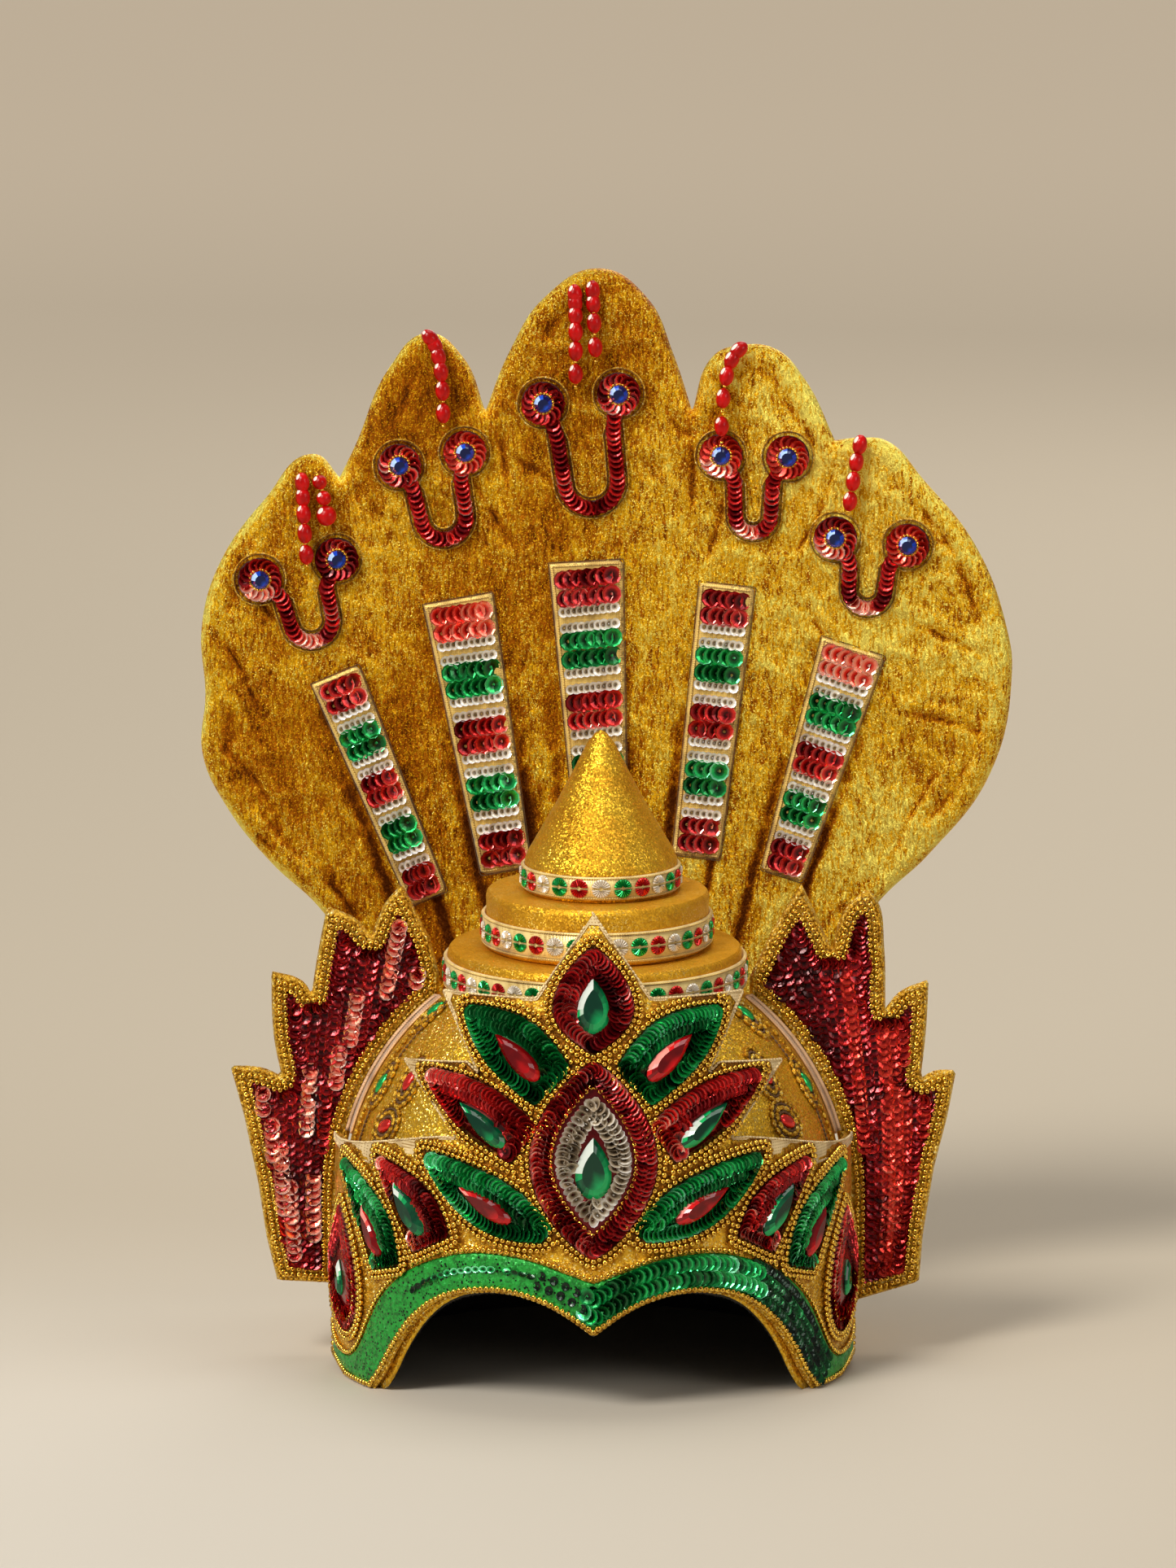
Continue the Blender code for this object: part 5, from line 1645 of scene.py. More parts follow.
    def make_stones(self) -> None:
        """The drop-shaped stones, each cut with a table, two rows of facets and a girdle."""
        outset = self.petal_face + GAP
        for petal in self.petals:
            cut, ends = petal.cut, petal.stone_ends()
            name = cut.name if cut.root[0] == 0 else f"{cut.name}_{Side(petal.side).word}"
            start, end = CREST.chart(ends)
            seats = CREST.seats(CREST.chart(ends.mean(axis=0)[None]), unit(end - start)[None], outset)
            run = CREST.raised(np.array((start, end)), outset)
            length = float(np.linalg.norm(run[1] - run[0]))
            size = np.array((cut.slim * cut.width * CREST_TALL, length, cut.low * self.stone_rise))
            make_stone(name, cut_stone(), seats, size, cut.hue)


def make_stone(name: str, shape: Shape, seats: Seats, size: Array, hue: Hue) -> None:
    """Makes one faceted stone.

    Args:
        name: the solid that it stands for.
        shape: its cut.
        seats: its one seat.
        size: its size along X, Y and Z.
        hue: its colour.
    """
    heap = Heap(41)
    heap.stamp(shape, seats, size, STONES[hue])
    shades = facet_shades(heap.points[-1].reshape(-1, 3, 3), seats.normal[0])
    # Red stones take the same painted light in a narrower range, from 0.12 up
    heap.shades[-1] = 0.12 + 0.85 * shades if hue is Hue.RED else shades
    heap.build(f"{name}_cut", name, f"{hue.value}_stone")


def facet_shades(facets: Array, facing: Array) -> Array:
    """The painted light of a foil-backed stone on each of its facets.

    Args:
        facets: the corners of its triangles.
        facing: the way that its table faces.

    Returns:
        A shade for each corner: a painted glint, over 1, on the bevels towards the upper left, a painted glow
            on those
        towards the lower right, and a painted glow growing across the table to its lower right.
    """
    out = unit(np.cross(facets[:, 1] - facets[:, 0], facets[:, 2] - facets[:, 0]))
    spread = (facets - facets.reshape(-1, 3).mean(axis=0)) @ GLOW_WAY
    table = 0.9 * smooth_step((spread / np.abs(spread).max() - 0.25) / 0.55)
    bevel = 0.15 + 0.75 * smooth_step((out @ GLOW_WAY + 0.1) / 0.6)
    bevel += 1.7 * smooth_step((out @ GLINT_WAY - 0.80) / 0.14)
    return np.where((out @ facing > 0.9)[:, None], table, bevel[:, None]).ravel()


def cut_stone(sides: int = 22, round_cut: bool = False) -> Shape:
    """A drop or round stone with a table and long facets, one unit long, wide and high, facet by facet.

    Args:
        sides: the number of its long facets.
        round_cut: whether it is round.

    Returns:
        The stone, with no point shared between two facets.
    """
    turns = np.arange(sides) * math.tau / sides
    along = 0.5 + 0.5 * np.cos(turns)
    half = (np.abs(np.sin(turns)) / 2 if round_cut else leaf_half(DROP, along)) * np.sign(np.sin(turns))
    rings = [
        np.stack([share * half, share * (along - 0.45) - 0.05, np.full(sides, height)], axis=1)
        for share, height in ((1.0, 0.0), (1.0, 0.25), (0.84, 0.66), (0.62, 1.0))
    ]
    facets = []
    for low, high in zip(rings, rings[1:]):
        after, above = np.roll(low, -1, axis=0), np.roll(high, -1, axis=0)
        facets += [np.stack([low, above, high], axis=1), np.stack([low, after, above], axis=1)]
    table = rings[-1]
    middle = np.broadcast_to(table.mean(axis=0), table.shape)
    points = np.vstack([*facets, np.stack([table, np.roll(table, -1, axis=0), middle], axis=1)])
    outward = np.cross(points[0, 1] - points[0, 0], points[0, 2] - points[0, 0])
    if outward @ points[0].mean(axis=0) < 0:
        points = points[:, ::-1]
    count = len(points) * 3
    return Shape(points.reshape(-1, 3), (np.arange(count).reshape(-1, 3),), np.ones(count))


@dataclass
class Helmet:
    """The domed shell, its lining, seam ribbons, flaps and stitched motifs."""

    columns: int = 180
    rows: int = 28
    shell_wall: float = 0.0025
    lining_wall: float = 0.0015
    lining_peek: float = 0.0015
    lining_foot: float = 0.002
    fray_reach: float = 1.02
    fray_gap: float = 0.06
    fray_wide: float = 0.0004
    ribbon_foot: float = 0.086
    ribbon_wall: float = 0.0008
    motif_top: float = 0.134
    motif_half: tuple[float, float] = (0.0050, 0.0032)

    # Middles of the motifs' ovals as seen from the front, their hues and their leans
    OVALS = (
        (-0.0577, 0.1396, Hue.GREEN, 0.9),
        (-0.0667, 0.1124, Hue.RED, 0.2),
        (-0.0772, 0.1078, Hue.GREEN, 0.4),
        (-0.0757, 0.0957, Hue.RED, 1.2),
        (0.0553, 0.1387, Hue.GREEN, -0.9),
        (0.0622, 0.1154, Hue.RED, -0.3),
        (0.0777, 0.1078, Hue.GREEN, -0.3),
        (0.0703, 0.0988, Hue.RED, -1.2),
    )
    # Rings of thread round an oval: their distance from the inner one, finish and thickness; the dark threads
    # are a painted shadow beside and between the gold braids
    THREADS = (
        (0.0, DARK_THREAD, 2.2),
        (0.0014, BRAID, 3.2),
        (0.0029, DARK_THREAD, 1.8),
        (0.0043, BRAID, 2.8),
    )
    # The seam ribbon's fold: depth, distance outwards, and 1 where it lies on the dome
    FOLD = (
        (-0.0070, 0.0, 1),
        (-0.0050, 0.0, 1),
        (-0.0030, 0.0, 1),
        (-0.0013, 0.0004, 1),
        (-0.0004, 0.0014, 0),
        (0.0006, 0.0028, 0),
    )

    def make(self) -> None:
        """Makes every piece of the helmet."""
        self.make_shell()
        self.make_lining()
        for side in Side:
            self.make_seam_ribbon(side)
        for side in Side:
            self.make_flap(side)

    def foot(self, turns: Array, drop: float, level: float, half: float) -> Array:
        """Height of the helmet's lower edge round its girth.

        Args:
            turns: angles from the front.
            drop: how far the edge hangs below the arches.
            level: the edge's height away from the arches.
            half: the half-width of the skin.

        Returns:
            The heights.
        """
        steps = 8
        arch = drawn(scaled(ARCH_EDGE, SHELL_HALF, ARCH_RISE), steps)[: (len(ARCH_EDGE) - 1) * steps + 1]
        order = np.argsort(arch[:, 0])
        across = np.abs(half * np.sin(turns))
        height = np.interp(across, arch[order, 0], arch[order, 1] - drop, right=level)
        return np.where((np.cos(turns) > 0) & (across < arch[:, 0].max()), np.maximum(height, level), level)

    def dome(self, heap: Heap, span: tuple[float, float], edge: tuple[float, float], outer: Finish) -> None:
        """Adds a domed wall, open below, with the lining's finish inside.

        Args:
            heap: the piece that it is added to.
            span: how far in from the helmet's skin it starts, and its thickness.
            edge: how far it hangs below the arches, and its lower edge's height.
            outer: the finish outside.
        """
        turns = np.linspace(-math.pi, math.pi, self.columns, endpoint=False)
        sheets = []
        for depth in (span[0], span[0] + span[1]):
            half, rise, top = SHELL_HALF - depth, DOME_RISE - depth, DOME_TOP - depth
            ratio = (SHELL_HALF * SHELL_RATIO - depth) / half
            foot = self.foot(turns, *edge, half)
            low = np.linspace(0.0, 1.0, self.rows // 2, endpoint=False)[:, None]
            straight = foot + (SPRING_HEIGHT - foot) * low
            steepest = math.asin((top - SPRING_HEIGHT) / rise)
            angles = np.linspace(0.0, steepest, self.rows // 2)[:, None]
            shape = (len(angles), len(turns))
            domed = np.broadcast_to(SPRING_HEIGHT + rise * np.sin(angles), shape)
            heights = np.vstack([straight, domed])
            narrowed = np.broadcast_to(half * np.cos(angles), shape)
            halves = np.vstack([np.full_like(straight, half), narrowed])
            across, back = halves * np.sin(turns), -ratio * halves * np.cos(turns)
            sheets.append(np.stack([across, back, heights], axis=-1))
        rows, columns = sheets[0].shape[:2]
        faces, count = grid_faces(rows, columns, True), rows * columns
        caps = np.array([(0.0, 0.0, sheet[-1, 0, 2]) for sheet in sheets])
        points = np.vstack([sheet.reshape(-1, 3) for sheet in sheets] + [caps])
        rim = np.arange(columns)
        crown = (rows - 1) * columns + rim
        beside, above = np.roll(rim, -1), np.roll(crown, -1)
        border = np.stack([rim + count, beside + count, beside, rim], axis=1)
        cap = np.stack([crown, above, np.full(columns, 2 * count)], axis=1)
        under = np.stack([above + count, crown + count, np.full(columns, 2 * count + 1)], axis=1)
        heap.add(points, [faces, border, cap], outer)
        heap.add(points, [faces[:, ::-1] + count, under], LINING)

    def make_shell(self) -> None:
        """The glitter-covered shell with its stitched motifs."""
        needle = Needle(Heap(51), DOME)
        self.dome(needle.heap, (0.0, self.shell_wall), (0.0, 0.0), GLITTER_GOLD)
        self.add_motifs(needle)
        needle.heap.build("helmet_cloth", "helmet_shell", "glitter_gold")

    def add_motifs(self, needle: Needle) -> None:
        """Stitches rings of thread round small coloured ovals on the dome's front."""
        circle = ring_points(28)
        for across, up, hue, lean in self.OVALS:
            centre = DOME.chart(np.array([[across, min(up, self.motif_top)]]))
            axis = np.array((math.sin(lean), math.cos(lean)))
            axes = np.stack([axis, (axis[1], -axis[0])])
            for grow, finish, size in self.THREADS:
                ring = centre + circle * (np.array(self.motif_half) + grow) @ axes
                needle.stitches(ring, 0.0001, finish, True, size)
            seats = DOME.seats(centre, axis[None], 0.0008)
            needle.heap.stamp(OVAL_BEAD, seats, (0.0052, 0.0088, 0.0030), SEQUINS[hue], 1.0, True)

    def make_lining(self) -> None:
        """The black lining, with the frayed threads of its lower edge."""
        heap = Heap(52)
        start = self.shell_wall + GAP
        edge = (self.lining_peek, self.lining_foot)
        self.dome(heap, (start, self.lining_wall), edge, LINING)
        turns = np.linspace(-self.fray_reach, self.fray_reach, 240)
        turns = turns[np.abs(turns) > self.fray_gap]
        count = len(turns)
        half = SHELL_HALF - start - self.lining_wall / 2
        foot = self.foot(turns, *edge, half)
        points = np.stack([half * np.sin(turns), -SHELL_RATIO * half * np.cos(turns), foot], axis=1)
        ahead = unit(np.stack([heap.jitter(count, 0.35), heap.jitter(count, 0.35), -np.ones(count)], axis=1))
        out = np.stack([np.sin(turns), -np.cos(turns), np.zeros(count)], axis=1)
        normal = unit(out - ahead * np.sum(out * ahead, axis=1, keepdims=True))
        wide = np.full(count, self.fray_wide)
        size = np.stack([wide, wide, heap.random.uniform(0.0006, 0.0022, count)], axis=1)
        heap.stamp(STITCH, Seats(points, normal, ahead), size, LINING)
        heap.build("helmet_lining", "lining", "black_lining")

    def make_seam_ribbon(self, side: Side) -> None:
        """The ribbon over one of the dome's seams, turned out onto the wing, with a braid on it."""
        sign, name = side.value, f"seam_ribbon_{side.word}"
        needle = Needle(Heap(53), DOME)
        heights = np.linspace(self.ribbon_foot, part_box("seam_ribbon_right")[1].z - GAP, 40)
        half = dome_half(heights)
        sheets = []
        for lift in (GAP, GAP + self.ribbon_wall):
            rows = []
            for depth, out, on_dome in self.FOLD:
                across = half * np.sqrt(1 - (depth / (SHELL_RATIO * half)) ** 2) + out + lift * on_dome
                back = np.full(len(heights), depth - lift * (1 - on_dome))
                rows.append(np.stack([sign * across, back, heights], axis=-1))
            sheets.append(np.stack(rows, axis=1).reshape(-1, 3))
        faces = grid_faces(len(heights), len(self.FOLD))
        number = np.arange(len(sheets[0])).reshape(len(heights), -1)
        ring = np.concatenate([number[0], number[1:, -1], number[-1, -2::-1], number[-2:0:-1, 0]])
        after = np.roll(ring, -1)
        wall = np.stack([after + number.size, ring + number.size, ring, after], axis=1)
        blocks = [block[:, ::sign] for block in (faces + number.size, faces[:, ::-1], wall)]
        needle.heap.add(np.vstack(sheets), blocks, SEAM_RIBBON)
        path = np.stack([sign * (half - 0.0020), heights], axis=1)
        for shift, finish, size in ((0.0, BRAID, 3.0), (0.0014, DARK_THREAD, 1.6)):
            needle.stitches(DOME.chart(path - np.array((sign * shift, 0.0))), 0.0002, finish, size=size)
        needle.heap.build(f"{name}_cloth", name, "sheer_ribbon")

    def make_flap(self, side: Side) -> None:
        """The small gold flap in front of a wing's root."""
        edge = scaled(FLAP_EDGE, SHELL_HALF, WING_TALL)
        seat = SHELL_HALF + 2 * GAP
        outline = drawn([corner._replace(across=side.value * max(corner.across, seat)) for corner in edge], 4)
        heap = Heap(54)
        span = (0.0, WING_BACKSET - 2 * GAP, 0.0006)
        heap.plate(FlatSkin(WING_BACKSET - GAP), cut_blank(outline, 0.0014, (0.0004,)), span, BRAID)
        heap.build(f"side_flap_{side.word}_cloth", f"side_flap_{side.word}", "gold_cloth")


@dataclass
class Wing:
    """A flame wing: its board, braid edge, bead rows and columns of sequins."""

    side: Side
    bead_depths: tuple[float, ...] = (0.0031, 0.0053)
    sequin_depth: float = 0.0062
    columns: int = 24
    pitch: float = 0.0028
    inner: float = 0.046
    outer: float = 0.142

    def __post_init__(self) -> None:
        """Draws the outline, with its inner side following the dome."""
        outline = even(drawn(scaled(WING_EDGES[self.side], WING_HALF, WING_TALL), 8), 0.001, True)
        seat = dome_half(outline[:, 1]) + 2.5 * GAP
        free = outline[:, 0] >= seat
        kept = free | (outline[:, 1] > outline[free, 1].min())
        outline, seat = outline[kept], seat[kept]
        self.mirror = np.array((self.side.value, 1.0))
        self.outline, self.worked = (
            np.stack([np.maximum(outline[:, 0], seat + away), outline[:, 1]], axis=1) * self.mirror
            for away in (0.0, 0.0016)
        )

    def make(self) -> None:
        """Makes the wing."""
        name = f"wing_{self.side.word}"
        heap = Heap(61 + self.side.value)
        blank = cut_blank(self.outline, 0.0024, (0.0006, 0.0014))
        edge = smooth_step(1 - np.abs(blank.depth - 0.0015) / 0.0016)
        relief = edge * (0.0006 + clouds(blank.chart, 420, 420, 3.0) * 0.0008)
        heap.plate(FlatSkin(WING_BACKSET + WING_WALL), blank, (0.0, WING_WALL, 0.0015), BRAID, relief=relief)
        # Painted shade: a sheet of dark red sequin foil, at shade 0.32, lies under the sequins
        backing = cut_blank(inset(self.worked, self.sequin_depth - 0.0008), 0.003, (0.0005,))
        heap.plate(WING, backing, (0.0002, 0.0008, 0.0006), SEQUINS[Hue.DARK_RED], 0.32)
        heap.build(f"{name}_board", name, "gold_cloth")
        needle = Needle(Heap(65 + self.side.value), WING)
        for depth in self.bead_depths:
            needle.beads(inset(self.worked, depth), 0.0003)
        self.add_braid(needle)
        needle.heap.build(f"{name}_beads", slot="gold_cloth")
        needle = Needle(Heap(69 + self.side.value), WING)
        self.fill(needle)
        needle.heap.build(f"{name}_sequins", slot="red_sequin")

    def add_braid(self, needle: Needle) -> None:
        """Sews two rows of braid along the edge, the outer one uneven."""
        outer, inner = (even(inset(self.outline, depth), 0.0008, True) for depth in (0.0013, 0.0022))
        outer = outer + needle.heap.jitter(len(outer), 0.00022)[:, None]
        for line in (outer, inner):
            needle.stitches(line, 0.0004, BRAID, True, 1.9)

    def column(self, share: float) -> Array:
        """A column's line on the wing's chart, at its share of the way outwards."""
        top = np.array((self.inner + (self.outer - self.inner) * share, 0.178 - 0.05 * share))
        foot = np.array((0.080 + 0.037 * share, -0.02 + 0.01 * share))
        along = np.linspace(0.0, 1.0, 60)[:, None]
        return (foot + (top - foot) * along + np.array((0.006, 0.0)) * np.sin(along * math.pi)) * self.mirror

    def fill(self, needle: Needle) -> None:
        """Fills the wing with columns of overlapping sequins that fan upwards."""
        heap, random = needle.heap, needle.heap.random
        edge = even(self.worked, DENSE, True)
        left = self.side is Side.LEFT
        # Painted shade: the right wing's columns are painted darker, at most 0.8 as bright as the left's
        size, most = (0.95, 1.0) if left else (1.0, 0.8)
        for away, small in ((0.0008, 0.6), (0.0024, 0.75)):
            path = inset(self.worked, self.sequin_depth + away)
            needle.sequins(path, 0.0006, Sewn(Hue.RED, small, 0.8, 1.1), (0.2, 0.7), True)
        for number in range(self.columns):
            share = number / (self.columns - 1)
            path = self.column(share)
            spots = even(path, self.pitch)
            spots = spots[inside(spots, self.worked)]
            spots = spots[distances(spots, edge) > self.sequin_depth + 0.0010] if len(spots) else spots
            count = len(spots)
            if not count:
                continue
            heading = np.broadcast_to(unit(path[-1] - path[0]), spots.shape)
            # Painted light: on the right wing many outer columns are sewn in coral, a lit copy of the red
            lit = not left and share > 0.36 + 0.30 * random.uniform() and number % 4 != 1
            bright = random.choice((0.35, 0.6, 0.85)) * most
            shades = heap.drift(count, bright * 0.4, bright, 9) + heap.jitter(count, 0.10)
            if lit:
                shades = heap.drift(count, 0.15, 0.55, 9) + heap.jitter(count, 0.05)
            # Painted highlights: on the left wing, runs of flatter sequins are painted as pale coral glints
            flat = np.zeros(count, bool)
            if left and random.uniform() < 0.75:
                start = random.integers(0, max(1, count - 8))
                flat[start : start + random.integers(5, 12)] = True
            sewn = Sewn(Hue.CORAL if lit else Hue.RED, size, 0.5)
            needle.scatter(spots[~flat], heading[~flat], 0.0009, sewn, shades[~flat])
            pale = random.uniform(1.1, 1.55, flat.sum())
            needle.scatter(spots[flat], heading[flat], 0.0012, Sewn(Hue.CORAL, size * 1.15, 0.3), pale)


@dataclass
class Tiers:
    """The three stacked tiers with their ribbons and stitched motifs."""

    ratio: float = 1.2
    sides: int = 128
    motif: float = 0.0068
    least_half: float = 0.001
    ribbon_wall: float = 0.0008

    HUES = (Hue.GREEN, Hue.RED, Hue.SILVER)
    # Rows of a drum's profile that make its flat top
    TOPS = 7

    def drum_profile(self, half: float, low: float, high: float) -> list[tuple[float, float]]:
        """A drum's outer profile from the foot up, as half-widths and heights."""
        profile = [(half * 0.985, low), (half, low + 0.0008)]
        profile += [(half, height) for height in np.linspace(low + 0.003, high - 0.0022, 6)]
        profile += [(half - 0.0003, high - 0.0010), (half - 0.0011, high - 0.0002), (half - 0.0022, high)]
        return profile + [(half * share, high) for share in (0.92, 0.8, 0.6, 0.4, 0.2, 0.001)]

    def cone_profile(self, half: float, low: float, high: float) -> list[tuple[float, float]]:
        """The cone's outer profile from the foot up, as half-widths and heights."""
        widths, ups = CONE_PROFILE[:, 0], CONE_PROFILE[:, 1]
        shares = np.unique(np.concatenate([np.linspace(0.0, 1.0, 26), ups]))
        halves = np.maximum(0.0002, half * np.interp(shares, ups, widths))
        return [(self.least_half, low), *zip(halves, low + (high - low) * shares)]

    def make_tier(self, name: str, lean: float, profile: Sequence[tuple[float, float]], tops: int) -> None:
        """Makes a tier's body.

        Args:
            name: the solid that it stands for.
            lean: its distance to the right of the helmet's axis.
            profile: its outer profile from the foot up, as half-widths and heights.
            tops: how many of the profile's last rows are its flat top.
        """
        turns = np.linspace(-math.pi, math.pi, self.sides, endpoint=False)
        half, heights = np.array(profile)[:, :1], np.array(profile)[:, 1:]
        circle = np.stack([np.sin(turns), np.cos(turns)], axis=1)
        wavy = np.array([clouds(circle, 2.5, 2.5, height * 60) for height in heights[:, 0]])
        radius = half * (1 + 0.012 * wavy)
        up = np.broadcast_to(heights, radius.shape)
        points = np.stack([lean + radius * circle[:, 0], -self.ratio * radius * circle[:, 1], up], axis=-1)
        points = points.reshape(-1, 3)
        faces = grid_faces(len(profile), self.sides, True)
        split = (len(profile) - 1 - tops) * self.sides
        heap = Heap(71)
        heap.add(points, [faces[:split]], TIER_TOP if tops else GLITTER_GOLD, 1.0 if tops else 0.78)
        if tops:
            heap.add(points, [faces[split:]], TIER_TOP)
        heap.build(f"{name}_cloth", name, "glitter_gold")

    def make_ribbon(self, name: str, lean: float, half: float, start: int) -> None:
        """Makes a ribbon with its motifs.

        Args:
            name: the solid that it stands for.
            lean: its distance to the right of the helmet's axis.
            half: the tier's half-width.
            start: which colour the row of motifs starts with.
        """
        foot, top = (end.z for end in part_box(name))
        middle = (foot + top) / 2
        skin = RoundSkin(lambda heights: np.full(np.shape(heights), half + GAP), self.ratio, half, lean)
        first, last = skin.girths[0], skin.girths[-1]
        turns = np.linspace(first, last, self.sides, endpoint=False)
        wall = self.ribbon_wall
        rows = ((foot, 0.0), (foot, wall), (middle, wall + 0.0001), (top, wall), (top, 0.0), (foot, 0.0))
        points = []
        for height, lift in rows:
            out = skin.point(np.stack([turns, np.full(len(turns), height)], axis=1))
            away = (out - np.array((lean, 0.0, 0.0))) * np.array((1.0, 1.0, 0.0))
            points.append(out + unit(away) * lift)
        needle = Needle(Heap(72), skin)
        needle.heap.add(np.vstack(points), [grid_faces(len(rows), self.sides, True)], RIBBON)
        count = int(last * 2 // (self.motif * 1.12))
        for index in range(count):
            spot = np.array([[first + last * 2 * (index + 0.5) / count, middle]])
            finish = SEQUINS[self.HUES[(index + start) % len(self.HUES)]]
            for half_side in (-1, 1):
                size = (self.motif, self.motif, 0.0008)
                needle.heap.stamp(half_motif(half_side), skin.seats(spot, UPWARD, 0.0010), size, finish, 0.85)
        for height in (foot + 0.0006, top - 0.0006):
            line = np.stack([turns, np.full(len(turns), height)], axis=1)
            needle.stitches(line, wall, STRIP_CLOTH, True, 0.9)
        needle.heap.build(f"{name}_cloth", name, "sheer_ribbon")

    def make(self) -> None:
        """Makes the tiers and their ribbons from the lowest up."""
        for start, word in enumerate(("lower", "middle", "cone")):
            low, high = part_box(f"tier_{word}")
            lean, half = (low.x + high.x) / 2 - AXIS[0], (high.x - low.x) / 2
            draw = self.cone_profile if word == "cone" else self.drum_profile
            profile = draw(half, low.z, high.z)
            if word == "middle":
                profile = [(self.least_half, low.z), (half * 0.5, low.z)] + profile
            self.make_tier(f"tier_{word}", lean, profile, 0 if word == "cone" else self.TOPS)
            self.make_ribbon(f"ribbon_{word}", lean, half, start)


def half_motif(half: int, sides: int = 9) -> Shape:
    """Half of a round stitched motif, one unit across, with ridges of thread.

    Args:
        half: 1 for the upper half.
        sides: its number of ridges.

    Returns:
        The shape, a little clear of the motif's middle line.
    """
    turns = np.linspace(0.0, math.pi, 2 * sides + 1)
    ridge = np.where(np.arange(len(turns)) % 2, 1.0, 0.35)
    points = [
        (radius * math.cos(turn), half * (0.05 + 0.92 * radius * math.sin(turn)), rise * high)
        for radius, rise in ((0.5, 0.25), (0.42, 1.0), (0.08, 0.9))
        for turn, high in zip(turns, ridge)
    ]
    # Painted shade: the grooves between the ridges of thread are darker
    return Shape(np.array(points), (grid_faces(3, len(turns))[:, ::half],), np.tile(0.35 + 0.65 * ridge, 3))


@dataclass
class Hood:
    """The tall lobed board behind, wrapped in creased gold tissue."""

    spacing: float = 0.0016
    rim: float = 0.0045
    roll: float = 0.0085
    focus: float = -0.05
    pleat_top: float = 0.33
    sheen_patches: float = 0.6
    free: float = 0.0008
    tallest: float = 0.0012

    def make(self) -> None:
        """Makes the hood."""
        outline = drawn(scaled(HOOD_EDGE, HOOD_HALF, HOOD_TALL, HOOD_SHIFT), 8)
        blank = cut_blank(outline, self.spacing, (0.0006, 0.0014, 0.0024, 0.0036))
        relief, back = self.relief(blank, 1), self.relief(blank, 2)
        across = (blank.chart[:, 0] - HOOD_SHIFT) / HOOD_HALF
        # Painted light and shade: the tissue is painted lighter towards the right, with a painted highlight
        # along the left rim, broad patches of painted sheen, painted shade in the folds and painted light on
        # the ridges
        lit = 0.70 + 0.80 * smooth_step((across + 0.05) / 0.6)
        lit = lit + 1.1 * smooth_step(1 - blank.depth / 0.0028) * smooth_step(-across / 0.3)
        sheen = 1 + self.sheen_patches * clouds(blank.chart, 26, 16, 4.0)
        shades = lit * sheen * np.clip(1.0 + relief / 0.0011, 0.05, 1.35)
        heap = Heap(81)
        heap.plate(HOOD, blank, (-HOOD_WALL, HOOD_WALL, self.rim), GOLD_TISSUE, shades, relief, back)
        heap.build("hood_cloth", "hood", "gold_cloth")

    def relief(self, blank: Blank, seed: int) -> Array:
        """Height of the tissue's rim, pleats and creases over the board.

        Args:
            blank: the board, cut up.
            seed: moves the creases, so that the two faces differ.

        Returns:
            The heights.
        """
        chart, depth = blank.chart, blank.depth
        x, z = chart[:, 0] - HOOD_SHIFT, chart[:, 1] - self.focus
        polar = np.stack([np.arctan2(x, z), np.hypot(x, z)], axis=1)
        fade = smooth_step((self.pleat_top - polar[:, 1]) / 0.14)
        height = np.zeros(len(chart))
        for strip in STRIPS:
            for end in (-1, 1):
                across = (strip.top[0] + end * strip.top_width * 0.62) * HOOD_HALF
                at = math.atan2(across, strip.top[1] * HOOD_TALL - self.focus)
                height -= 0.0019 * fade * hump(polar[:, 0], at, 0.009)
        height += 0.0010 * fade * clouds(polar, 30, 7, seed * 5.0)
        height += 0.00035 * clouds(polar, 90, 14, seed * 9.0) * (0.4 + 0.6 * fade)
        broad = clouds(chart, 38, 38, seed * 3.0)
        height += 0.0009 * (1 - np.abs(broad) * 2.6).clip(0.0, 1.0) ** 5 * (1 - fade)
        small = clouds(chart, 95, 70, seed * 4.0)
        height += 0.0006 * (1 - np.abs(small) * 3.0).clip(0.0, 1.0) ** 3
        height += crease_height(chart, broad)
        patchy = smooth_step((broad + 0.05) / 0.25)
        groove = hump(depth - 0.0022 * broad, self.roll, 0.0011) * 0.0008 * patchy
        pinched = 0.0008 * clouds(chart, 140, 140, seed * 6.0) * smooth_step(1.4 - depth / self.roll)
        height = height + hump(depth, 0.0038, 0.0026) * 0.0006 - groove + pinched
        room = self.tallest - self.free
        return np.minimum(height, self.free + room * np.tanh((height - self.free).clip(0.0) / room))


def crease_height(chart: Array, wander: Array) -> Array:
    """Height of the hood's sharp creases.

    Args:
        chart: places on the hood's chart.
        wander: a noise that makes the creases uneven.

    Returns:
        The heights: a sunken fold with a raised lip beside it, for each crease; the hood's painted shade
            darkens the fold and its painted light lightens the lip.
    """
    height = np.zeros(len(chart))
    for x0, z0, x1, z1 in CREASES:
        start = hood_place(x0, z0)
        run = hood_place(x1, z1) - start
        length = float(np.linalg.norm(run))
        share = ((chart - start) @ run) / length**2
        off = (chart - start) @ np.array((-run[1], run[0])) / length + 0.0035 * wander
        strength = smooth_step(1 - np.abs(2 * share - 1) + 0.25) * (np.abs(2 * share - 1) < 1.2)
        height -= 0.0011 * strength * hump(off, 0.0, 0.0011)
        height += 0.0008 * strength * hump(off, 0.0030, 0.0018)
    return height


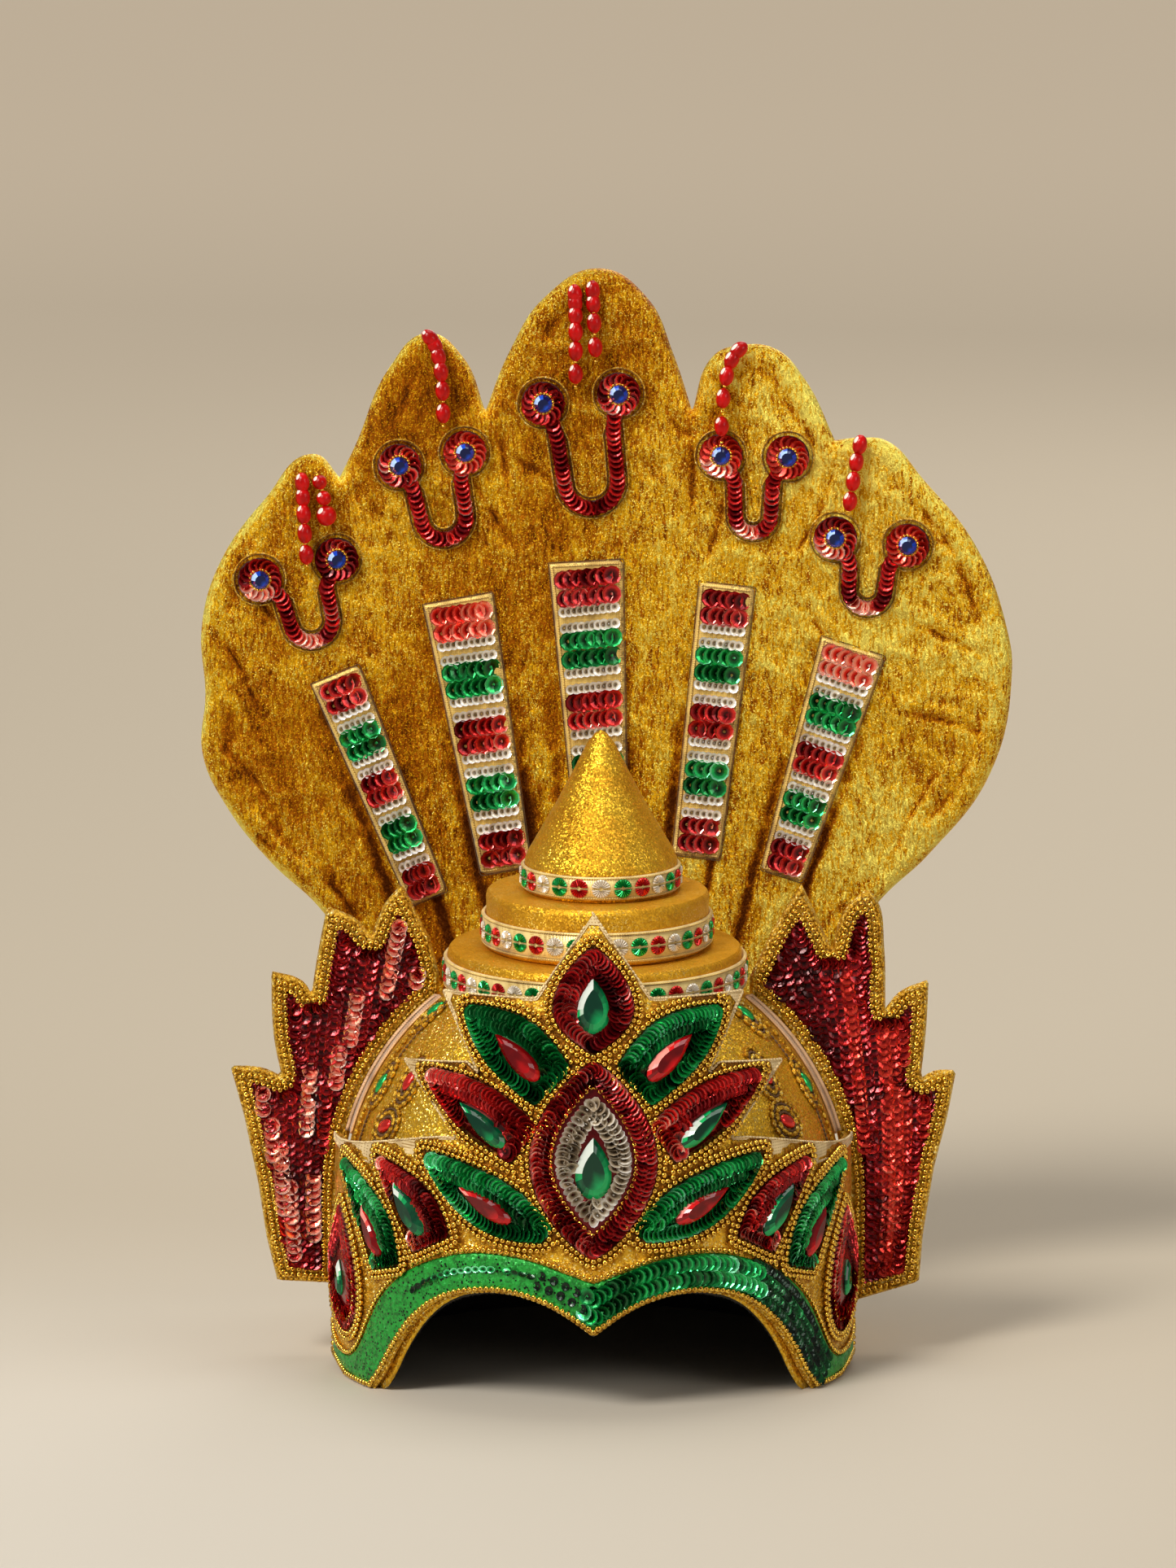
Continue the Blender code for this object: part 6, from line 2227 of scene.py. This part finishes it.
@dataclass
class HoodStrip:
    """A strip of pale cloth on the hood with bands of sequins."""

    index: int
    strip: Strip
    wall: float = 0.001
    silver_tall: float = 0.0875
    other_tall: float = 0.135
    squeeze: float = 0.935

    BANDS = (*(Hue.RED, Hue.SILVER, Hue.GREEN, Hue.SILVER) * 2, Hue.DARK_RED)
    # Hues of the first band on the strips where it isn't red
    FIRST = {2: Hue.CORAL, 3: Hue.DARK_RED, 4: Hue.DARK_RED, 5: Hue.CORAL}

    def make(self) -> None:
        """Makes the strip."""
        strip, face = self.strip, GAP + self.wall
        top, foot = hood_place(*strip.top), hood_place(*strip.foot)
        run = foot - top
        ahead = run / float(np.linalg.norm(run))
        side = np.array((-ahead[1], ahead[0]))
        half_top, half_foot = strip.top_width * HOOD_HALF / 2, strip.foot_width * HOOD_HALF / 2
        out, low = side * half_top, side * half_foot
        outline = np.array((top - out, top + out, foot + low, foot - low))
        needle = Needle(Heap(90 + self.index), HOOD)
        blank = cut_blank(even(outline, 0.002, True), 0.0026, (0.0005,))
        needle.heap.plate(HOOD, blank, (GAP, self.wall, 0.0006), STRIP_CLOTH)
        edge = even(outline, 0.001, True)
        needle.stitches(inset(edge, -0.0004), GAP + 0.0004, DARK_THREAD, True, 0.7)
        needle.stitches(inset(edge, 0.0012), face, STRIP_CLOTH, True)
        start, lean = 0.02, needle.heap.random.uniform(-0.05, 0.05)
        for number, hue in enumerate(self.BANDS):
            silver = hue is Hue.SILVER
            tall = (self.silver_tall if silver else self.other_tall) * self.squeeze
            rows, lines, margin = (3, (0, 2), 0.0034) if silver else (2, (0, 1), 0.0044)
            sewn, tones = self.sewn(self.FIRST.get(self.index, hue) if number == 0 else hue)
            for row in lines:
                share = start + tall * (row + 0.5) / rows
                half = half_top + (half_foot - half_top) * share - margin
                middle, reach = top + run * share, (side + ahead * lean) * half
                needle.sequins(np.stack([middle - reach, middle + reach]), face, sewn, tones)
            start += tall
        name = f"hood_strip_{self.index}"
        needle.heap.build(f"{name}_cloth", name, "light_gold_cloth")

    def sewn(self, hue: Hue) -> tuple[Sewn, tuple[float, float]]:
        """How a band's sequins are sewn on, and their darkest and brightest shade."""
        if hue is Hue.SILVER:
            return Sewn(hue, 0.74, 1.0, 1.3), (0.8, 1.5) if self.index == 3 else (1.3, 2.1)
        pale = hue is Hue.CORAL and self.index == 5
        return Sewn(hue, 1.3, 0.6, 1.8), (1.3, 1.7) if pale else (0.5, 1.25)


@dataclass
class HoodMark:
    """An eye-and-loop applique of sequins, with a blue stone in each eye."""

    index: int
    mark: Mark
    wall: float = MARK_WALL - 0.0008
    band: float = 0.006
    eye: float = 0.0088
    splay: float = 0.4
    stone: float = 0.0034
    stone_rise: float = 0.0028
    petals: int = 15

    PALE = (1, 4, 5)
    PALE_WAY = (-0.5, -0.87)

    def loop(self, grow: float) -> Array:
        """The loop's line from one eye down and up to the other, grown outwards, on its own axes."""
        radius = self.mark.stems * HOOD_HALF / 2
        centre = np.array((0.0, radius - self.mark.drop * HOOD_HALF))
        turns = np.linspace(0.0, math.pi, 25)
        foot = centre - np.stack([np.cos(turns), np.sin(turns)], axis=1) * (radius + grow)
        reach = self.mark.eyes * HOOD_HALF / 2 - (self.band / 2 - grow) * self.splay
        knee, low = radius + grow + 0.0006, -0.33 * self.mark.drop * HOOD_HALF + 0.3 * grow
        return np.vstack([[-reach, 0.0], [-knee, low], foot, [knee, low], [reach, 0.0]])

    def placed(self, points: Array) -> Array:
        """Points on the applique's own axes as places on the hood's chart."""
        turn = math.radians(self.mark.turn)
        across = np.array((math.cos(turn), math.sin(turn)))
        up = np.array((-math.sin(turn), math.cos(turn)))
        return hood_place(self.mark.across, self.mark.up) + points[:, :1] * across + points[:, 1:] * up

    def make(self) -> None:
        """Makes the applique and its stones."""
        half, name = self.band / 2, f"hood_mark_{self.index}"
        eyes = [np.array((sign * self.mark.eyes * HOOD_HALF / 2, 0.0)) for sign in (-1, 1)]
        needle = Needle(Heap(100 + self.index), HOOD)
        band = self.placed(np.vstack([self.loop(half - 0.0003), self.loop(0.0003 - half)[::-1]]))
        needle.heap.plate(HOOD, cut_blank(band, 0.0014, (0.0005,)), (GAP, self.wall, 0.0006), RED_CLOTH)
        circle = ring_points(40)
        for eye in eyes:
            disc = cut_blank(self.placed(eye + circle * (self.eye - 0.0006)), 0.0016, (0.0005,))
            needle.heap.plate(HOOD, disc, (GAP + 0.0001, self.wall + 0.0001, 0.0006), RED_CLOTH)
        self.fill_loop(needle, eyes)
        for eye in eyes:
            self.add_rosette(needle, eye)
        self.add_thread(needle.heap, eyes, circle)
        needle.heap.build(f"{name}_sequins", name, "red_sequin")
        for number, eye in enumerate(eyes, start=1):
            seats = HOOD.seats(self.placed(eye[None]), UPWARD, 2 * GAP + MARK_WALL)
            size = np.array((2 * self.stone, 2 * self.stone, self.stone_rise))
            stone = f"eye_stone_{2 * self.index - 2 + number}"
            make_stone(stone, cut_stone(12, True), seats, size, Hue.BLUE)

    def fill_loop(self, needle: Needle, eyes: Sequence[Array]) -> None:
        """Sews one row of sequins along the loop, from each eye down to its middle."""
        spots = even(self.loop(0.0), 0.0021)
        keep = np.min([np.hypot(*(spots - eye).T) for eye in eyes], axis=0) > self.eye - 0.0022
        spots, ahead = self.placed(spots[keep]), headings(self.placed(spots))[keep]
        count, lift = len(spots), GAP + self.wall
        ahead = np.where((np.arange(count) < count / 2)[:, None], -ahead, ahead)
        shades = needle.heap.drift(count, 0.3, 1.2, 4)
        pale = (np.abs(np.arange(count) - count * 0.46) < 2.5) & (self.index in self.PALE)
        needle.scatter(spots[~pale], ahead[~pale], lift, Sewn(Hue.RED, 1.05), shades[~pale])
        needle.scatter(spots[pale], ahead[pale], lift, Sewn(Hue.CORAL, 1.05, 0.7), 1.4 + 0.2 * shades[pale])

    def add_rosette(self, needle: Needle, eye: Array) -> None:
        """Adds an eye's rosette of sequins with its ring of tiny beads."""
        heap, lift = needle.heap, GAP + self.wall
        ring = ring_points(self.petals)
        spots = self.placed(eye + ring * (self.eye - 0.0032))
        inward = unit(self.placed(eye[None]) - spots)
        heading = unit(inward * 0.75 + np.stack([-inward[:, 1], inward[:, 0]], axis=1) * 0.66)
        coral = heap.random.uniform(0.0, 1.0) > 0.45
        shades = heap.drift(self.petals, 0.5, 1.5 if coral else 1.1, 3)
        hue = Hue.CORAL if coral and heap.random.uniform() > 0.5 else Hue.RED
        shades = shades * (0.5 if hue is Hue.CORAL else 1.0)
        pale = (ring @ self.PALE_WAY > 0.5) & (self.index in self.PALE) & (eye[0] < 0)
        needle.scatter(spots[~pale], heading[~pale], lift + 0.0002, Sewn(hue, 1.05, 0.95), shades[~pale])
        needle.scatter(spots[pale], heading[pale], lift + 0.0003, Sewn(Hue.CORAL, 1.05, 0.6), 1.55)
        needle.beads(self.placed(eye + ring_points(16) * (self.stone + 0.0005)), lift + 0.0009, size=0.55)

    def add_thread(self, heap: Heap, eyes: Sequence[Array], circle: Array) -> None:
        """Adds the gold thread that follows the applique's outline, with a dark one beside it.

        Args:
            heap: the piece that they are added to.
            eyes: the eyes' middles.
            circle: a circle's points, one unit in radius.
        """
        for away, finish, size in ((0.0006, DARK_THREAD, 0.6), (0.0011, BRAID, 1.1)):
            band = self.band / 2 + away
            closed = even(np.vstack([self.loop(band), self.loop(-band)[::-1]]), 0.0006, True)
            keep = np.abs(closed[:, 1]) > 0.0002
            for eye in eyes:
                keep &= np.hypot(*(closed - eye).T) > self.eye + away
            rims = [even(eye + circle * (self.eye + away), 0.0006, True) for eye in eyes]
            for part, kept in [(closed, keep)] + [(rim, ~inside(rim, closed)) for rim in rims]:
                heading = headings(self.placed(part), True)[kept]
                seats = HOOD.seats(self.placed(part[kept]), heading, 0.0011).laid()
                across = Needle.stitch * size
                heap.stamp(STITCH, seats, (across, across, across * 1.6), finish, 1.0, True)


@dataclass
class BeadString:
    """A string of long red beads with tiny gold beads between them."""

    index: int
    route: Route
    width: float = 0.0065
    pitch: float = 0.0078
    slim: float = 0.87
    joint: tuple[float, float, float] = (0.0016, 0.0016, 0.0012)
    lift_start: float = 0.25
    lift_end: float = 0.65

    def place(self, along: Array) -> Array:
        """Places on the hood's chart at shares of the string."""
        start, middle, end = (hood_place(*point) for point in self.route.points)
        share = along[:, None]
        early = start * (1 - share) * (1 - 2 * share)
        return early + middle * 4 * share * (1 - share) + end * share * (2 * share - 1)

    def make(self) -> None:
        """Makes the string."""
        heap, count = Heap(130 + self.index), self.route.beads
        wide = self.slim * self.width
        beads = ((np.arange(count) + 0.5) / count, (wide, wide, self.pitch), RED_GLASS)
        joints = (np.arange(count + 1) / count, self.joint, SEED_GOLD)
        for shares, size, finish in (beads, joints):
            ahead = unit(self.place(shares + SLOPE_STEP) - self.place(shares - SLOPE_STEP))
            rise = smooth_step((shares - self.lift_start) / (self.lift_end - self.lift_start))
            seats = HOOD.seats(self.place(shares), ahead)
            seats.points[:, 1] -= GAP + wide / 2 + (MARK_WALL + GAP) * rise
            shades = heap.random.uniform(0.8, 1.0, len(shares))
            heap.stamp(OVAL_BEAD, seats.laid(), size, finish, shades, True)
        name = f"bead_string_{self.index}"
        heap.build(f"{name}_glass", name, "red_bead")


@dataclass
class Stage:
    """The floor, the lights and the camera."""

    reach: float = 14.0
    sides: int = 64
    distance: float = 4.0
    elevation: float = 9.0
    lens: float = 249.1
    sensor: float = 36.0
    target: tuple[float, float, float] = (-0.00195, 0.0, 0.2158)
    lit_middle: tuple[float, float, float] = (0.0, 0.0, 0.18)

    # Soft boxes: name, place, size, power and colour
    BOXES = (
        ("left box", (-1.6, -1.7, 1.5), 1.1, 22.0, (1.0, 0.97, 0.92)),
        ("right box", (2.0, -1.9, 1.2), 1.2, 14.0, (1.0, 0.97, 0.93)),
        ("above box", (0.2, 0.4, 2.2), 1.2, 16.0, (1.0, 0.98, 0.95)),
        ("back box", (0.6, 2.4, 1.5), 1.4, 14.0, (1.0, 0.97, 0.94)),
    )

    def make(self) -> None:
        """Makes the stage."""
        self.make_floor()
        self.make_lights()
        self.make_camera()

    def make_floor(self) -> None:
        """A wide pale floor, with light and shade painted into its colour."""
        points = [(0.0, 0.0, 0.0)] + [(x, y, 0.0) for x, y in (ring_points(self.sides) * self.reach).tolist()]
        faces = [(0, 1 + i, 1 + (i + 1) % self.sides) for i in range(self.sides)]
        mesh = bpy.data.meshes.new("floor")
        mesh.from_pydata(points, [], faces)
        material = bpy.data.materials.new("pale floor")
        material.use_nodes = True
        graph = Graph(material.node_tree)
        # Painted light and shade: palest near the front left of the crown, darker round and behind it, and
        # paler again far off
        away = graph.vector("LENGTH", graph.vector("ADD", graph.place(), (0.22, 0.25, 0.0)))
        colour = graph.mix(graph.ramp(away, 0.05, 0.60), (0.565, 0.520, 0.445), (0.44, 0.38, 0.29))
        colour = graph.mix(graph.ramp(away, 1.8, 5.0), colour, (0.66, 0.56, 0.43))
        shader = graph.node("BsdfPrincipled", {"Base Color": colour, "Roughness": 0.8})
        graph.node("OutputMaterial", {"Surface": shader.outputs[0]})
        mesh.materials.append(material)
        floor = bpy.data.objects.new("floor", mesh)
        bpy.context.scene.collection.objects.link(floor)

    def make_lights(self) -> None:
        """A soft sun from the upper left, soft boxes at both sides, above and behind, and a pale world."""
        sun = bpy.data.lights.new("sun", "SUN")
        sun.angle = math.radians(18)
        sun.energy = 2.3
        sun.color = (1.0, 0.97, 0.92)
        lamps = [("sun", sun, (-1.1, -1.6, 2.2))]
        for name, place, size, power, colour in self.BOXES:
            light = bpy.data.lights.new(name, "AREA")
            light.size = size
            light.energy = power
            light.color = colour
            lamps.append((name, light, place))
        for name, light, place in lamps:
            lamp = bpy.data.objects.new(name, light)
            lamp.location = place
            aim = Vector(self.lit_middle) - Vector(place)
            lamp.rotation_euler = aim.to_track_quat("-Z", "Y").to_euler()
            bpy.context.scene.collection.objects.link(lamp)
        world = bpy.data.worlds.new("studio")
        world.use_nodes = True
        background = world.node_tree.nodes["Background"]
        background.inputs[0].default_value = (1.0, 0.94, 0.86, 1.0)
        background.inputs[1].default_value = 0.26
        bpy.context.scene.world = world
        bpy.context.scene.view_settings.view_transform = "Standard"

    def make_camera(self) -> None:
        """The camera at the photograph's angle."""
        data = bpy.data.cameras.new("camera")
        data.lens = self.lens
        data.sensor_width = self.sensor
        data.clip_end = 60.0
        camera = bpy.data.objects.new("camera", data)
        lift = math.radians(self.elevation)
        back = Vector((0.0, -math.cos(lift), math.sin(lift))) * self.distance
        camera.location = Vector(self.target) + Vector(AXIS) + back
        camera.rotation_euler = (math.pi / 2 - lift, 0.0, 0.0)
        bpy.context.scene.collection.objects.link(camera)
        bpy.context.scene.camera = camera


def main() -> None:
    """Builds the crown from the helmet outwards, then its stage."""
    logging.basicConfig(level=logging.INFO, format="%(name)s: %(message)s")
    make_glitter()
    make_crinkle()
    make_weave()
    make_foil_tones()
    Helmet().make()
    Crest().make()
    for side in Side:
        Wing(side).make()
    Tiers().make()
    Hood().make()
    for index, strip in enumerate(STRIPS, start=1):
        HoodStrip(index, strip).make()
    for index, mark in enumerate(MARKS, start=1):
        HoodMark(index, mark).make()
    for index, route in enumerate(BEAD_ROUTES, start=1):
        BeadString(index, route).make()
    Stage().make()


if __name__ == "__main__":
    main()
